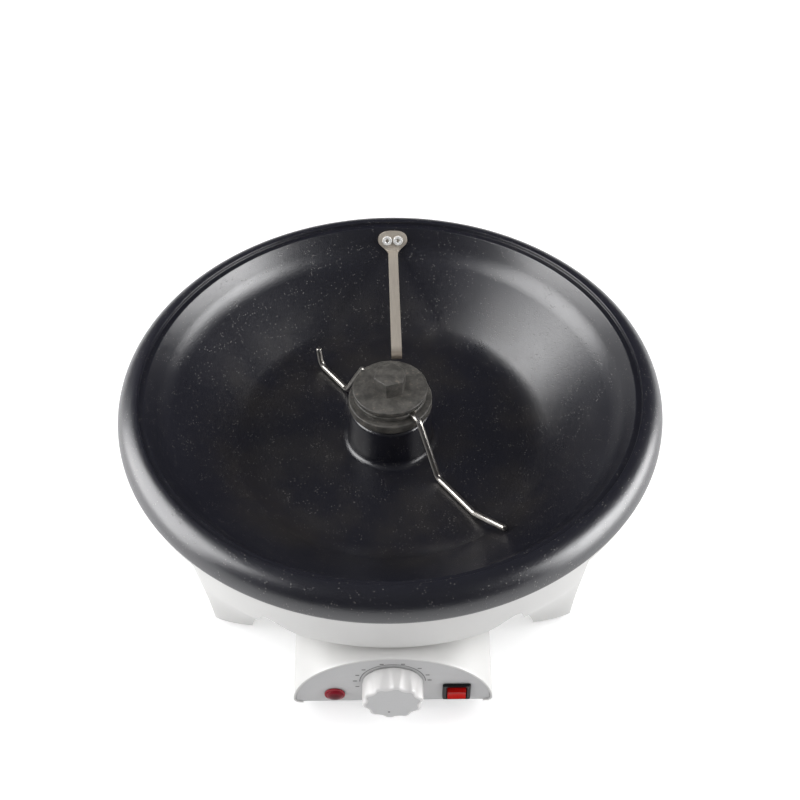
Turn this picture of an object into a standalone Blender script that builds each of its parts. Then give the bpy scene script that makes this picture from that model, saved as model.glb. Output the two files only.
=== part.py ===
"""Home coffee bean roaster: a round cast pan with a stirrer, on a moulded stand.

Metres, +Z up, front towards -Y, heights from the floor. Every piece is placed from an
empty on the pan's axis, which stands a little behind the middle of the whole outline.
"""
import bpy
import bmesh
from math import atan2, cos, hypot, pi, radians, sin, sqrt, tan
from mathutils import Matrix, Vector

# Clearances and facets
GAP = 0.0003
OVERRUN = 0.005
SINK = 0.0008
WELD = 0.00001
PAN_STEPS = 48
STAND_STEPS = 72
ROUND_STEPS = 28
SMALL_STEPS = 12
FILLET_STEPS = 3

# Pan
PAN_SEAT_R = 0.155
PAN_SEAT_W = 0.0036
PAN_CREST_H = 0.0026
PAN_CREST_W = 0.0008
PAN_FLARE_REACH = 0.0139
PAN_FLARE_DROP = 0.0159
PAN_FLARE_STEPS = 5
PAN_WALL = 0.0026
PAN_DEPTH = 0.055
PAN_FLOOR_R = 0.0986
PAN_BOWL_FILLET = 0.030
PAN_BEND_IN = 0.0082
PAN_BEND_DROP = 0.0168
PAN_BEND_FILLET = 0.035
TURRET_HOLE_R = 0.0065
TURRET_TOP_R = 0.0262
TURRET_BASE_R = 0.028
TURRET_EDGE_FILLET = 0.0025
TURRET_FILLET = 0.005
PAN_BOSS_OUT = 0.031
PAN_BOSS_R = 0.005
PAN_BOSS_H = 0.0104
PAN_BOSS_HOLE_H = 0.009

# Stand: skirt, legs and rim
WALL = 0.0026
SKIRT_GAP = 0.0013
SKIRT_IN = 0.0009
SKIRT_LIP = 0.001
SKIRT_EDGE_GAP = 0.0032
SKIRT_DRAFT = 0.0067
SIDE_SKIRT_H = 0.0062
RIM_WEB_T = 0.0024
RIM_WEB_DROP = 0.0008
RIM_W = 0.0149
UPSTAND_OUT = 0.0075
UPSTAND_T = 0.0025
FOOT_H = 0.003
FOOT_R = 0.0085
FOOT_PEG_R = 0.002
FOOT_IN = 0.012
LEG_SIDE_X = 0.113
LEG_W = 0.024
LEG_PAD_T = 0.003
LEG_PAD_L = 0.0295
LEG_BACK_DROP = 0.0092
LEG_BACK_FILLET = 0.006
LEG_GUSSET_IN = 0.01675
LEG_GUSSET_L = 0.014
LEG_LEVELS = 4
LEG_BULGE = 0.022
LEG_RAKE = 0.0482
LEG_POWER = 6
NOTCH_W = 0.0155
NOTCH_RISE = 0.013
NOTCH_FILLET = 0.0035
APRON_RUN = 0.0175
APRON_FILLET = 0.020

# Bowl under the pan
BOWL_T = 0.001
BOWL_FLANGE_W = 0.0085
BOWL_TOP_IN = 0.0025
BOWL_FLOOR_OUT = 0.0044
BOWL_FILLET = 0.012
BOWL_TOP_FILLET = 0.003
BOWL_HOLE_R = 0.0065
BOWL_CLEAR = 0.0006
BOWL_SCREW_IN = 0.0028

# Screws
SCREW_R = 0.0014
SCREW_HEAD_R = 0.0028
SCREW_HEAD_H = 0.0018
SCREW_CROWN_SHARE = 0.7
BOWL_SCREW_L = 0.006
PLATE_SCREW_L = 0.008

# Heater, reflector and their ties
HEATER_ROOM = 0.0164
HEATER_RING_IN = 0.0146
HEATER_R = 0.0035
HEATER_END_X = 0.016
HEATER_END_DROP = 0.024
HEATER_BEND = 0.006
HEATER_STEPS = 30
HEATER_BEND_SHARES = ((0.3, 0.05), (0.7, 0.3), (0.95, 0.7), (1.0, 1.2))
HEATER_HOLE_CLEAR = 0.0006
REFLECTOR_T = 0.0008
REFLECTOR_OUT = 0.011
REFLECTOR_HOLE_R = 0.012
REFLECTOR_EDGE_W = 0.004
REFLECTOR_EDGE_H = 0.008
REFLECTOR_FILLET = 0.004
STANDOFF_R = 0.0036
HEATER_BUSH_R = 0.0055
HEATER_BUSH_FLANGE_R = 0.0072
HEATER_BUSH_FLANGE_T = 0.0015
HEATER_BUSH_L = 0.006
BULB_R = 0.0025
BULB_L = 0.038
BULB_IN = 0.024
BULB_X = -0.003
CAPILLARY_R = 0.0009
FUSE_R = 0.003
FUSE_L = 0.016

# Shaft, gears and motor
SHAFT_R = 0.004
SHAFT_CHAMFER = 0.0006
SHAFT_IN_HEAD = 0.0035
BUSH_R = 0.0062
UPPER_BUSH_FLANGE_R = 0.0085
BUSH_FLANGE_T = 0.001
UPPER_BUSH_L = 0.009
CASE_T = 0.0018
CASE_H = 0.0112
CASE_LID_T = 0.0015
CASE_CLEAR = 0.0022
GEAR_MODULE = 0.001
GEAR_TEETH = 48
PINION_TEETH = 12
GEAR_T = 0.004
GEAR_LIFT = 0.0025
GEAR_HUB_R = 0.008
TOOTH_WIDTH_SHARE = 0.42
TOOTH_TIP_SHARE = 0.8
TOOTH_ROOT_SHARE = 1.3
TOOTH_FLANK = radians(20)
MOTOR_R = 0.021
MOTOR_T = 0.001
MOTOR_H = 0.0124
MOTOR_PINION_R = 0.0015
COIL_GAP = 0.001
COIL_DROP = 0.0031
ROTOR_R = 0.0145
ROTOR_DROP = 0.0019
ROTOR_LIFT = 0.0012
SPINDLE_SPARE = 0.0012
PINION_SPARE = 0.0005

# Control tunnel
PANEL_IN = 0.0033
PANEL_T = 0.002
TUNNEL_PROUD = 0.0008
TUNNEL_BOTTOM = 0.005
TUNNEL_H = 0.0494
TUNNEL_HALF = 0.0595
TUNNEL_REAR_HALF = 0.066
TUNNEL_REAR_ROOM = 0.013
TUNNEL_REAR_ROUND = 0.005
TUNNEL_CORNER = 0.004
TUNNEL_WALL = 0.0024
TUNNEL_RIM = 0.0012
TUNNEL_ARCH_STEPS = 22
COLUMN_R = 0.004
COLUMN_H = 0.014
COLUMN_FRONT_IN = 0.0083
COLUMN_FRONT_BACK = 0.020
COLUMN_REAR_IN = 0.0095
COLUMN_REAR_BACK = 0.019
PLATE_T = 0.0012
PLATE_LIFT = 0.0005
VENT_W = 0.0045
VENT_L = 0.042
VENT_PITCH = 0.0095
VENT_COUNT = 8
VENT_BACK = 0.048
GLAND_X = 0.038
GLAND_Z = 0.019
GLAND_R = 0.006
GLAND_FLANGE_R = 0.0085
GLAND_FLANGE_T = 0.002
GLAND_BORE_R = 0.0035
TUNNEL_TOE = radians(8)

# Knob and thermostat
KNOB_Z = 0.027
KNOB_R = 0.0178
KNOB_L = 0.0132
KNOB_LOBES = 10
KNOB_TURN = radians(8)
KNOB_SCALLOP_R = 0.008
KNOB_SCALLOP_DEPTH = 0.0016
KNOB_SCALLOP_LEAN = radians(6)
KNOB_EDGE = 0.0012
KNOB_HOLLOW_R = 0.0098
KNOB_HOLLOW_L = 0.0055
SPINDLE_R = 0.003
SPINDLE_OUT = 0.0098
SPINDLE_IN = 0.016
THERMOSTAT_W = 0.027
THERMOSTAT_H = 0.026
THERMOSTAT_D = 0.020
THERMOSTAT_EDGE = 0.0015
NECK_R = 0.0047
NECK_OUT = 0.0034
NUT_R = 0.0078
NUT_T = 0.0022

# Lamp and switch
LAMP_X = -0.0344
LAMP_LIFT = 0.0011
LAMP_R = 0.0049
LAMP_FLANGE_R = 0.0061
LAMP_DOME_H = 0.0022
LAMP_FLANGE_T = 0.001
LAMP_L = 0.012
LAMP_NUT_R = 0.0066
LAMP_NUT_T = 0.003
LAMP_DOME_SHARES = ((0.85, 0.4), (0.5, 0.85))
SWITCH_X = 0.0376
SWITCH_LIFT = 0.0031
SWITCH_SIDE_LIP = 0.0013
SWITCH_END_LIP = 0.0011
SWITCH_BEZEL_T = 0.0018
SWITCH_SIDE_WALL = 0.0012
SWITCH_END_WALL = 0.0008
SWITCH_BODY_D = 0.016
SWITCH_CORNER = 0.001
ROCKER_W = 0.0108
ROCKER_H = 0.0106
ROCKER_OUT = 0.0032
ROCKER_DIP = 0.0011
ROCKER_IN = 0.004
ROCKER_TILT = radians(8)
ROCKER_CLEAR = 0.0004
ROCKER_SWING = 0.0006
ROCKER_PIVOT_IN = 0.0016
ROCKER_POCKET_D = 0.0072
BLOCK_W = 0.014
BLOCK_L = 0.034
BLOCK_H = 0.012
BLOCK_X = 0.040
BLOCK_Y = -0.004
BLOCK_WELLS = 3
BLOCK_WELL_R = 0.0022
BLOCK_WELL_DEPTH = 0.006

# Stirrer
CAP_DROP = 0.0085
CAP_R = 0.0242
CAP_T = 0.003
CAP_EDGE = 0.0007
HEX_SIDE = 0.0109
HEX_H = 0.0114
HEX_TURN = radians(-11)
HEX_EDGE = 0.0006
COLLAR_H = 0.0128
COLLAR_NECK_R = 0.0215
COLLAR_NECK_H = 0.0014
COLLAR_BEAD_R = 0.0236
COLLAR_BEAD_H = 0.003
COLLAR_GROOVE_R = 0.0222
COLLAR_GROOVE_H = 0.0015
COLLAR_RING_R = 0.0272
COLLAR_EDGE = 0.0008
COLLAR_FOOT_R = 0.0205
COLLAR_FOOT_H = 0.0006
ARM_R = 0.002
ARM_DROP = 0.0034
ARM_TURN = radians(-53)
ARM_START_R = 0.0175
ARM_BEND_R = 0.030
ARM_FLOOR_R = 0.0505
ARM_FLOOR_GAP = 0.0008
ARM_BOWL_IN = 0.0118
ARM_TIP_GAP = 0.003
ARM_TIP_RISE = 0.0135
REAR_ARM_BOWL_IN = 0.0168
REAR_ARM_TIP_OUT = 0.002
REAR_ARM_TIP_RISE = 0.014
ARM_FILLET = 0.006
ARM_SLOT_CLEAR = 0.0004

# Baffle strip
STRIP_W = 0.0070
STRIP_T = 0.0014
STRIP_X = 0.0023
STRIP_TIP_X = 0.0045
STRIP_HEAD_W = 0.0213
STRIP_SHOULDER_L = 0.0072
STRIP_HEAD_L = 0.0178
STRIP_FLAT_L = 0.0145
STRIP_GAP = 0.0009
STRIP_TOP_CLEAR = 0.0021
STRIP_ARM_GAP = 0.0017
STRIP_TIP_GAP = 0.0073
STRIP_TIP_DROP = 0.003
STRIP_BEND = 0.003
RIVET_R = 0.0015
RIVET_HEAD_R = 0.0036
RIVET_HEAD_H = 0.0014
RIVET_SPACING = 0.0079
RIVET_CLEAR = 0.0003
RIVET_CROWN_SHARES = ((1.0, 0.4), (0.6, 1.0))
STRIP_HEAD_POWER = 2.6
STRIP_SHOULDER_STEPS = 7
STRIP_NECK_STEPS = 10

# Places worked out from the sizes above, from the floor up
PLATE_Z = TUNNEL_BOTTOM + PLATE_LIFT
PLATE_TOP_Z = PLATE_Z + PLATE_T
COLUMN_Z = PLATE_TOP_Z + GAP
MOTOR_Z = PLATE_TOP_Z + GAP
MOTOR_TOP_Z = MOTOR_Z + MOTOR_H
CASE_Z = MOTOR_TOP_Z + GAP
CASE_FLOOR_Z = CASE_Z + CASE_T
CASE_TOP_Z = CASE_Z + CASE_H
CASE_LID_Z = CASE_TOP_Z + GAP
GEAR_Z = CASE_FLOOR_Z + GEAR_LIFT
GEAR_R = GEAR_TEETH * GEAR_MODULE / 2
PINION_R = PINION_TEETH * GEAR_MODULE / 2
MOTOR_Y = GEAR_R + PINION_R
BOWL_FLOOR_Z = CASE_LID_Z + CASE_LID_T + GAP
PAN_UNDER_Z = BOWL_FLOOR_Z + BOWL_T + HEATER_ROOM
PAN_FLOOR_Z = PAN_UNDER_Z + PAN_WALL
SEAT_Z = PAN_FLOOR_Z + PAN_DEPTH
PAN_CREST_Z = SEAT_Z + PAN_CREST_H
FLARE_Z = PAN_CREST_Z - PAN_FLARE_DROP
FLARE_R = PAN_SEAT_R + PAN_SEAT_W + PAN_CREST_W + PAN_FLARE_REACH
HEATER_RING_R = PAN_FLOOR_R - HEATER_RING_IN
HEATER_Z = PAN_UNDER_Z - GAP - HEATER_R
REFLECTOR_R = HEATER_RING_R + REFLECTOR_OUT
PAN_BOSS_RING_R = GEAR_R + PAN_BOSS_OUT
PAN_BOSS_Z = PAN_UNDER_Z - PAN_BOSS_H
REFLECTOR_Z = PAN_BOSS_Z - GAP - REFLECTOR_T
BULB_Y = HEATER_RING_R - BULB_IN
SKIRT_TOP_Z = FLARE_Z - SKIRT_GAP
SKIRT_TOP_R = FLARE_R - SKIRT_IN
SKIRT_EDGE_Z = TUNNEL_BOTTOM + TUNNEL_H + SKIRT_EDGE_GAP
SKIRT_EDGE_R = SKIRT_TOP_R - SKIRT_DRAFT
SKIRT_H = SKIRT_TOP_Z - SKIRT_EDGE_Z
SIDE_EDGE_Z = SKIRT_TOP_Z - SIDE_SKIRT_H
SIDE_EDGE_R = SKIRT_TOP_R - SKIRT_DRAFT * SIDE_SKIRT_H / SKIRT_H
LEG_IN_X = LEG_SIDE_X - LEG_W
LEG_HALF_X = LEG_SIDE_X + LEG_BULGE
LEG_HALF_Y = SKIRT_EDGE_R - LEG_RAKE
LEG_GUSSET_Y = sqrt(SIDE_EDGE_R ** 2 - LEG_SIDE_X ** 2) - LEG_GUSSET_IN
LEG_TOP_BACK_Y = LEG_GUSSET_Y - LEG_GUSSET_L
LEG_TOP_BACK_Z = SIDE_EDGE_Z - LEG_BACK_DROP
LEG_PAD_BACK_Y = LEG_HALF_Y - LEG_PAD_L
NOTCH_X = LEG_IN_X - NOTCH_W
APRON_X = NOTCH_X - APRON_RUN
RIM_WEB_Z = SKIRT_TOP_Z - RIM_WEB_DROP - RIM_WEB_T
RIM_IN_R = SKIRT_TOP_R - RIM_W
UPSTAND_R = RIM_IN_R + UPSTAND_OUT
BOWL_FLANGE_Z = RIM_WEB_Z - GAP - BOWL_T
BOWL_FLANGE_R = RIM_IN_R + BOWL_FLANGE_W
BOWL_TOP_R = RIM_IN_R - BOWL_TOP_IN
BOWL_FLOOR_R = PAN_FLOOR_R + BOWL_FLOOR_OUT
BOWL_SCREW_RING_R = RIM_IN_R + BOWL_SCREW_IN
PANEL_Y = FLARE_R - PANEL_IN
PANEL_BACK_Y = PANEL_Y - PANEL_T
TUNNEL_FRONT_Y = PANEL_Y + TUNNEL_PROUD
TUNNEL_REAR_Y = MOTOR_Y + MOTOR_R + TUNNEL_REAR_ROOM
KNOB_BACK_Y = PANEL_Y + TUNNEL_PROUD
KNOB_FRONT_Y = KNOB_BACK_Y + KNOB_L
COLUMN_FRONT_X = TUNNEL_HALF - COLUMN_FRONT_IN
COLUMN_FRONT_Y = PANEL_BACK_Y - COLUMN_FRONT_BACK
COLUMN_REAR_X = TUNNEL_REAR_HALF - COLUMN_REAR_IN
COLUMN_REAR_Y = TUNNEL_REAR_Y - COLUMN_REAR_BACK
VENT_Y = COLUMN_FRONT_Y - VENT_BACK
LAMP_Z = PLATE_TOP_Z + LAMP_NUT_R + LAMP_LIFT
SWITCH_BODY_W = ROCKER_W + 2 * (ROCKER_CLEAR + SWITCH_SIDE_WALL)
SWITCH_BODY_H = ROCKER_H + 2 * (ROCKER_SWING + SWITCH_END_WALL)
SWITCH_W = SWITCH_BODY_W + 2 * SWITCH_SIDE_LIP
SWITCH_H = SWITCH_BODY_H + 2 * SWITCH_END_LIP
SWITCH_Z = PLATE_TOP_Z + SWITCH_BODY_H / 2 + SWITCH_LIFT
CAP_TOP_Z = SEAT_Z - CAP_DROP
CAP_Z = CAP_TOP_Z - CAP_T
COLLAR_TOP_Z = CAP_Z - GAP
COLLAR_Z = COLLAR_TOP_Z - COLLAR_H
TURRET_Z = COLLAR_Z - 2 * GAP - BUSH_FLANGE_T
UPPER_BUSH_Z = TURRET_Z + GAP
SHAFT_TOP_Z = CAP_TOP_Z + SHAFT_IN_HEAD
ARM_Z = COLLAR_TOP_Z - ARM_DROP
ARM_FLOOR_Z = PAN_FLOOR_Z + ARM_FLOOR_GAP + ARM_R
ARM_BOWL_R = PAN_FLOOR_R - ARM_BOWL_IN
REAR_ARM_BOWL_R = PAN_FLOOR_R - REAR_ARM_BOWL_IN
REAR_ARM_TIP_R = REAR_ARM_BOWL_R + REAR_ARM_TIP_OUT
STRIP_Z = ARM_Z + ARM_R + STRIP_ARM_GAP + STRIP_T / 2
STRIP_TIP_Y = CAP_R + STRIP_TIP_GAP
PAN_Y = (KNOB_FRONT_Y - FLARE_R) / 2

# Material: colour, roughness, metallic
FINISHES = {
    "pan_coating": ((0.022, 0.022, 0.026), 0.42, 0.0),
    "white_plastic": ((0.80, 0.79, 0.76), 0.38, 0.0),
    "white_enamel": ((0.78, 0.78, 0.76), 0.30, 0.0),
    "grey_plastic": ((0.44, 0.44, 0.43), 0.50, 0.0),
    "hub_plastic": ((0.070, 0.070, 0.066), 0.62, 0.0),
    "stainless": ((0.55, 0.52, 0.48), 0.32, 1.0),
    "bright_steel": ((0.62, 0.62, 0.62), 0.28, 1.0),
    "aluminised": ((0.70, 0.70, 0.69), 0.35, 1.0),
    "element_sheath": ((0.16, 0.15, 0.14), 0.45, 1.0),
    "ceramic": ((0.82, 0.80, 0.74), 0.40, 0.0),
    "bronze": ((0.55, 0.38, 0.20), 0.38, 1.0),
    "brass": ((0.72, 0.55, 0.25), 0.30, 1.0),
    "copper": ((0.60, 0.26, 0.12), 0.40, 1.0),
    "magnet": ((0.10, 0.10, 0.11), 0.60, 0.0),
    "rubber": ((0.030, 0.030, 0.030), 0.85, 0.0),
    "black_plastic": ((0.022, 0.022, 0.024), 0.40, 0.0),
    "nylon": ((0.75, 0.73, 0.66), 0.50, 0.0),
    "red_lens": ((0.22, 0.010, 0.022), 0.18, 0.0),
    "red_rocker": ((0.74, 0.012, 0.008), 0.30, 0.0),
}


def clear_scene():
    for obj in list(bpy.data.objects):
        bpy.data.objects.remove(obj, do_unlink=True)


def new_collection(name):
    collection = bpy.data.collections.new(name)
    bpy.context.scene.collection.children.link(collection)
    return collection


def new_material(name, colour, roughness, metallic):
    material = bpy.data.materials.new(name)
    material.use_nodes = True
    shader = material.node_tree.nodes["Principled BSDF"]
    shader.inputs["Base Color"].default_value = (*colour, 1)
    shader.inputs["Roughness"].default_value = roughness
    shader.inputs["Metallic"].default_value = metallic
    return material


clear_scene()
PARTS = new_collection("coffee_roaster")
CUTTERS = new_collection("coffee_roaster_cutters")
MATERIALS = {name: new_material(name, *finish) for name, finish in FINISHES.items()}
PAN_AXIS = bpy.data.objects.new("pan_axis", None)
PAN_AXIS.location = (0, PAN_Y, 0)
PARTS.objects.link(PAN_AXIS)

ALONG_Y = (radians(90), 0, 0)
ALONG_X = (radians(90), 0, radians(90))


# Makers shared by the pieces. A piece without a material is a cutter or a tool.

def new_object(name, data, material, at=(0, 0, 0), turn=(0, 0, 0)):
    obj = bpy.data.objects.new(name, data)
    obj.parent = PAN_AXIS
    obj.location = at
    obj.rotation_euler = turn
    if material is None:
        CUTTERS.objects.link(obj)
        obj.display_type = "WIRE"
        obj.hide_render = True
    else:
        PARTS.objects.link(obj)
        data.materials.append(MATERIALS[material])
    return obj


def rounded(corners, closed=False, steps=FILLET_STEPS):
    """Outline through corners (x, y, radius), each radius swept as an arc."""
    points = []
    last = len(corners) - 1
    for i, (x, y, radius) in enumerate(corners):
        corner = Vector((x, y))
        if radius == 0 or (not closed and i in (0, last)):
            points.append(tuple(corner))
            continue
        before = (Vector(corners[i - 1][:2]) - corner).normalized()
        after = (Vector(corners[(i + 1) % len(corners)][:2]) - corner).normalized()
        half = before.angle(after) / 2
        centre = corner + (before + after).normalized() * radius / sin(half)
        start = corner + before * radius / tan(half) - centre
        end = corner + after * radius / tan(half) - centre
        swing = atan2(start.cross(end), start.dot(end))
        for k in range(steps + 1):
            angle = swing * k / steps
            points.append((centre.x + start.x * cos(angle) - start.y * sin(angle),
                           centre.y + start.x * sin(angle) + start.y * cos(angle)))
    return points


def beside(points, distance):
    """Open outline moved to its right by a distance, with mitred corners."""
    ways = [(Vector(b) - Vector(a)).normalized() for a, b in zip(points, points[1:])]
    moved = []
    for i, point in enumerate(points):
        before = ways[max(i - 1, 0)]
        after = ways[min(i, len(ways) - 1)]
        normal = (Vector((before.y, -before.x)) + Vector((after.y, -after.x))).normalized()
        stretch = distance / normal.dot(Vector((after.y, -after.x)))
        moved.append(tuple(Vector(point) + normal * stretch))
    return moved


def sheet_profile(path, thickness):
    """Closed profile of a sheet that follows an open path, on its right side."""
    return path + beside(path, thickness)[::-1]


def turned(name, profile, material=None, at=(0, 0, 0), turn=(0, 0, 0), steps=ROUND_STEPS):
    """Body turned about local Z from a closed (radius, height) profile."""
    area = sum(a[0] * b[1] - b[0] * a[1] for a, b in zip(profile, profile[1:] + profile[:1]))
    if area > 0:
        profile = profile[::-1]
    edges = [(i, i + 1) for i in range(len(profile) - 1)]
    if profile[0][0] > 0 or profile[-1][0] > 0:
        edges.append((len(profile) - 1, 0))
    mesh = bpy.data.meshes.new(name)
    mesh.from_pydata([(r, 0, z) for r, z in profile], edges, [])
    obj = new_object(name, mesh, material, at, turn)
    screw = obj.modifiers.new("Turn", "SCREW")
    screw.steps = steps
    screw.render_steps = steps
    screw.use_merge_vertices = True
    screw.merge_threshold = WELD
    return obj


def curve_to_solid(curve_object, material):
    """Mesh object in place of a curve object, with its caps welded on."""
    bpy.context.view_layer.update()
    depsgraph = bpy.context.evaluated_depsgraph_get()
    mesh = bpy.data.meshes.new_from_object(curve_object.evaluated_get(depsgraph))
    bm = bmesh.new()
    bm.from_mesh(mesh)
    bmesh.ops.remove_doubles(bm, verts=bm.verts, dist=WELD)
    bmesh.ops.recalc_face_normals(bm, faces=bm.faces)
    bm.to_mesh(mesh)
    bm.free()
    name, at = curve_object.name, curve_object.location.copy()
    turn = curve_object.rotation_euler.copy()
    bpy.data.objects.remove(curve_object, do_unlink=True)
    mesh.materials.clear()
    return new_object(name, mesh, material, at, turn)


def prism(name, outlines, low, high, material=None, at=(0, 0, 0), turn=(0, 0, 0)):
    """Flat outline, with any holes after it, as thick as from low to high on local Z."""
    curve = bpy.data.curves.new(name, "CURVE")
    curve.dimensions = "2D"
    curve.fill_mode = "BOTH"
    curve.extrude = (high - low) / 2
    for outline in outlines:
        spline = curve.splines.new("POLY")
        spline.points.add(len(outline) - 1)
        for point, (x, y) in zip(spline.points, outline):
            point.co = (x, y, 0, 1)
        spline.use_cyclic_u = True
    flat = bpy.data.objects.new(name, curve)
    CUTTERS.objects.link(flat)
    solid = curve_to_solid(flat, material)
    solid.data.transform(Matrix.Translation((0, 0, (high + low) / 2)))
    solid.location = at
    solid.rotation_euler = turn
    return solid


def tube(name, points, radius, material=None, at=(0, 0, 0), turn=(0, 0, 0)):
    """Round wire or rod along points, with flat ends."""
    curve = bpy.data.curves.new(name, "CURVE")
    curve.dimensions = "3D"
    curve.bevel_depth = radius
    curve.bevel_resolution = 2
    curve.use_fill_caps = True
    spline = curve.splines.new("POLY")
    spline.points.add(len(points) - 1)
    for point, place in zip(spline.points, points):
        point.co = (*place, 1)
    line = bpy.data.objects.new(name, curve)
    CUTTERS.objects.link(line)
    line.location = at
    line.rotation_euler = turn
    return curve_to_solid(line, material)


def box(name, size, material=None, at=(0, 0, 0)):
    mesh = bpy.data.meshes.new(name)
    bm = bmesh.new()
    bmesh.ops.create_cube(bm, size=1, matrix=Matrix.Diagonal((*size, 1)))
    bm.to_mesh(mesh)
    bm.free()
    return new_object(name, mesh, material, at)


def pegs(name, places, radius, low, high, material=None, turn=(0, 0, 0), steps=SMALL_STEPS):
    """Cylinders from low to high on local Z, one at each (x, y), as one object."""
    mesh = bpy.data.meshes.new(name)
    bm = bmesh.new()
    for x, y in places:
        centre = Matrix.Translation((x, y, (low + high) / 2))
        bmesh.ops.create_cone(bm, cap_ends=True, segments=steps, radius1=radius,
                              radius2=radius, depth=high - low, matrix=centre)
    bm.to_mesh(mesh)
    bm.free()
    return new_object(name, mesh, material, (0, 0, 0), turn)


def loft(name, sections, material=None):
    """Capped solid through closed sections of equal counts, from the first to the last."""
    mesh = bpy.data.meshes.new(name)
    bm = bmesh.new()
    rings = [[bm.verts.new(point) for point in section] for section in sections]
    for upper, lower in zip(rings, rings[1:]):
        for i in range(len(upper)):
            j = (i + 1) % len(upper)
            bm.faces.new((upper[i], lower[i], lower[j], upper[j]))
    bmesh.ops.triangulate(bm, faces=bm.faces)
    bm.faces.new(rings[0])
    bm.faces.new(rings[-1])
    bmesh.ops.recalc_face_normals(bm, faces=bm.faces)
    bm.to_mesh(mesh)
    bm.free()
    return new_object(name, mesh, material)


def joined(name, objects):
    """One tool made of several that don't touch each other."""
    bpy.context.view_layer.update()
    mesh = bpy.data.meshes.new(name)
    bm = bmesh.new()
    for obj in objects:
        shape = obj.data.copy()
        shape.transform(PAN_AXIS.matrix_world.inverted() @ obj.matrix_world)
        bm.from_mesh(shape)
        bpy.data.objects.remove(obj, do_unlink=True)
    bm.to_mesh(mesh)
    bm.free()
    return new_object(name, mesh, None)


def boolean(obj, tool, operation):
    modifier = obj.modifiers.new(operation.title(), "BOOLEAN")
    modifier.operation = operation
    modifier.solver = "EXACT"
    modifier.object = tool


def cut(obj, tool):
    boolean(obj, tool, "DIFFERENCE")


def add(obj, tool):
    boolean(obj, tool, "UNION")


def soften(obj, width, segments=1):
    bevel = obj.modifiers.new("Edges", "BEVEL")
    bevel.width = width
    bevel.segments = segments
    bevel.limit_method = "ANGLE"
    bevel.angle_limit = radians(40)


def four_ways(radius, first=0.0):
    return [(radius * cos(first + k * pi / 2), radius * sin(first + k * pi / 2))
            for k in range(4)]


def height_on(points, radius):
    """Height of an open profile at a radius, on its outermost crossing."""
    heights = [z0 + (z1 - z0) * (radius - r0) / (r1 - r0)
               for (r0, z0), (r1, z1) in zip(points, points[1:])
               if r0 < radius <= r1]
    return heights[-1]


# Pan

def flare_arc():
    centre_r = FLARE_R - PAN_FLARE_REACH
    return [(centre_r + PAN_FLARE_REACH * sin(k * pi / 2 / PAN_FLARE_STEPS),
             FLARE_Z + PAN_FLARE_DROP * cos(k * pi / 2 / PAN_FLARE_STEPS))
            for k in range(PAN_FLARE_STEPS + 1)]


def pan_bowl_path():
    return rounded([(TURRET_HOLE_R, TURRET_Z, 0),
                    (TURRET_TOP_R, TURRET_Z, TURRET_EDGE_FILLET),
                    (TURRET_BASE_R, PAN_FLOOR_Z, TURRET_FILLET),
                    (PAN_FLOOR_R, PAN_FLOOR_Z, PAN_BOWL_FILLET),
                    (PAN_SEAT_R - PAN_BEND_IN, SEAT_Z - PAN_BEND_DROP, PAN_BEND_FILLET),
                    (PAN_SEAT_R, SEAT_Z, 0)])


def pan_underside():
    return beside(pan_bowl_path() + flare_arc(), PAN_WALL)


def wall_direction():
    """Unit vector up the steep top of the pan's wall, in radius and height."""
    return Vector((PAN_BEND_IN, PAN_BEND_DROP)).normalized()


def rivet_centre():
    """Point on the wall's inner face between the two rivets, in radius and height."""
    down = STRIP_TOP_CLEAR + STRIP_SHOULDER_L
    up = wall_direction()
    return Vector((PAN_SEAT_R, SEAT_Z)) - up * down


def make_pan():
    step = [(PAN_SEAT_R + PAN_SEAT_W, SEAT_Z), (PAN_SEAT_R + PAN_SEAT_W, PAN_CREST_Z)]
    top = pan_bowl_path() + step + flare_arc()
    pan = turned("roasting_pan", top + pan_underside()[::-1], "pan_coating", steps=PAN_STEPS)
    bosses = four_ways(PAN_BOSS_RING_R, pi / 4)
    add(pan, pegs("pan_bosses", bosses, PAN_BOSS_R, PAN_BOSS_Z, PAN_FLOOR_Z - PAN_WALL / 2))
    hole_top = PAN_BOSS_Z + PAN_BOSS_HOLE_H
    cut(pan, pegs("pan_boss_holes", bosses, SCREW_R + GAP, PAN_BOSS_Z - OVERRUN, hole_top))
    cut(pan, rivet_tool("pan_rivet_holes"))


# Stand

def wall_radius(angle, height):
    """Radius of the stand's wall: a drafted cone, then straight lines to a squarer outline."""
    if height >= SKIRT_EDGE_Z:
        return SKIRT_TOP_R - SKIRT_DRAFT * (SKIRT_TOP_Z - height) / SKIRT_H
    across, along = abs(cos(angle)) / LEG_HALF_X, abs(sin(angle)) / LEG_HALF_Y
    foot_radius = (across ** LEG_POWER + along ** LEG_POWER) ** (-1 / LEG_POWER)
    share = (SKIRT_EDGE_Z - height) / (SKIRT_EDGE_Z - FOOT_H)
    return SKIRT_EDGE_R + (foot_radius - SKIRT_EDGE_R) * share


def wall_section(height, inset=0.0):
    ring = []
    for k in range(STAND_STEPS):
        angle = 2 * pi * k / STAND_STEPS
        radius = wall_radius(angle, height) - inset
        ring.append((radius * cos(angle), radius * sin(angle), height))
    return ring


def side_opening_outline():
    """Opening between a front and a rear leg, in depth and height, seen from the side."""
    half = [(LEG_PAD_BACK_Y, -OVERRUN, 0),
            (LEG_TOP_BACK_Y, LEG_TOP_BACK_Z, LEG_BACK_FILLET),
            (LEG_GUSSET_Y, SIDE_EDGE_Z - SINK / 2, 0)]
    mirrored = [(-y, z, radius) for y, z, radius in half[::-1]]
    return rounded(half + mirrored, closed=True)


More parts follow.
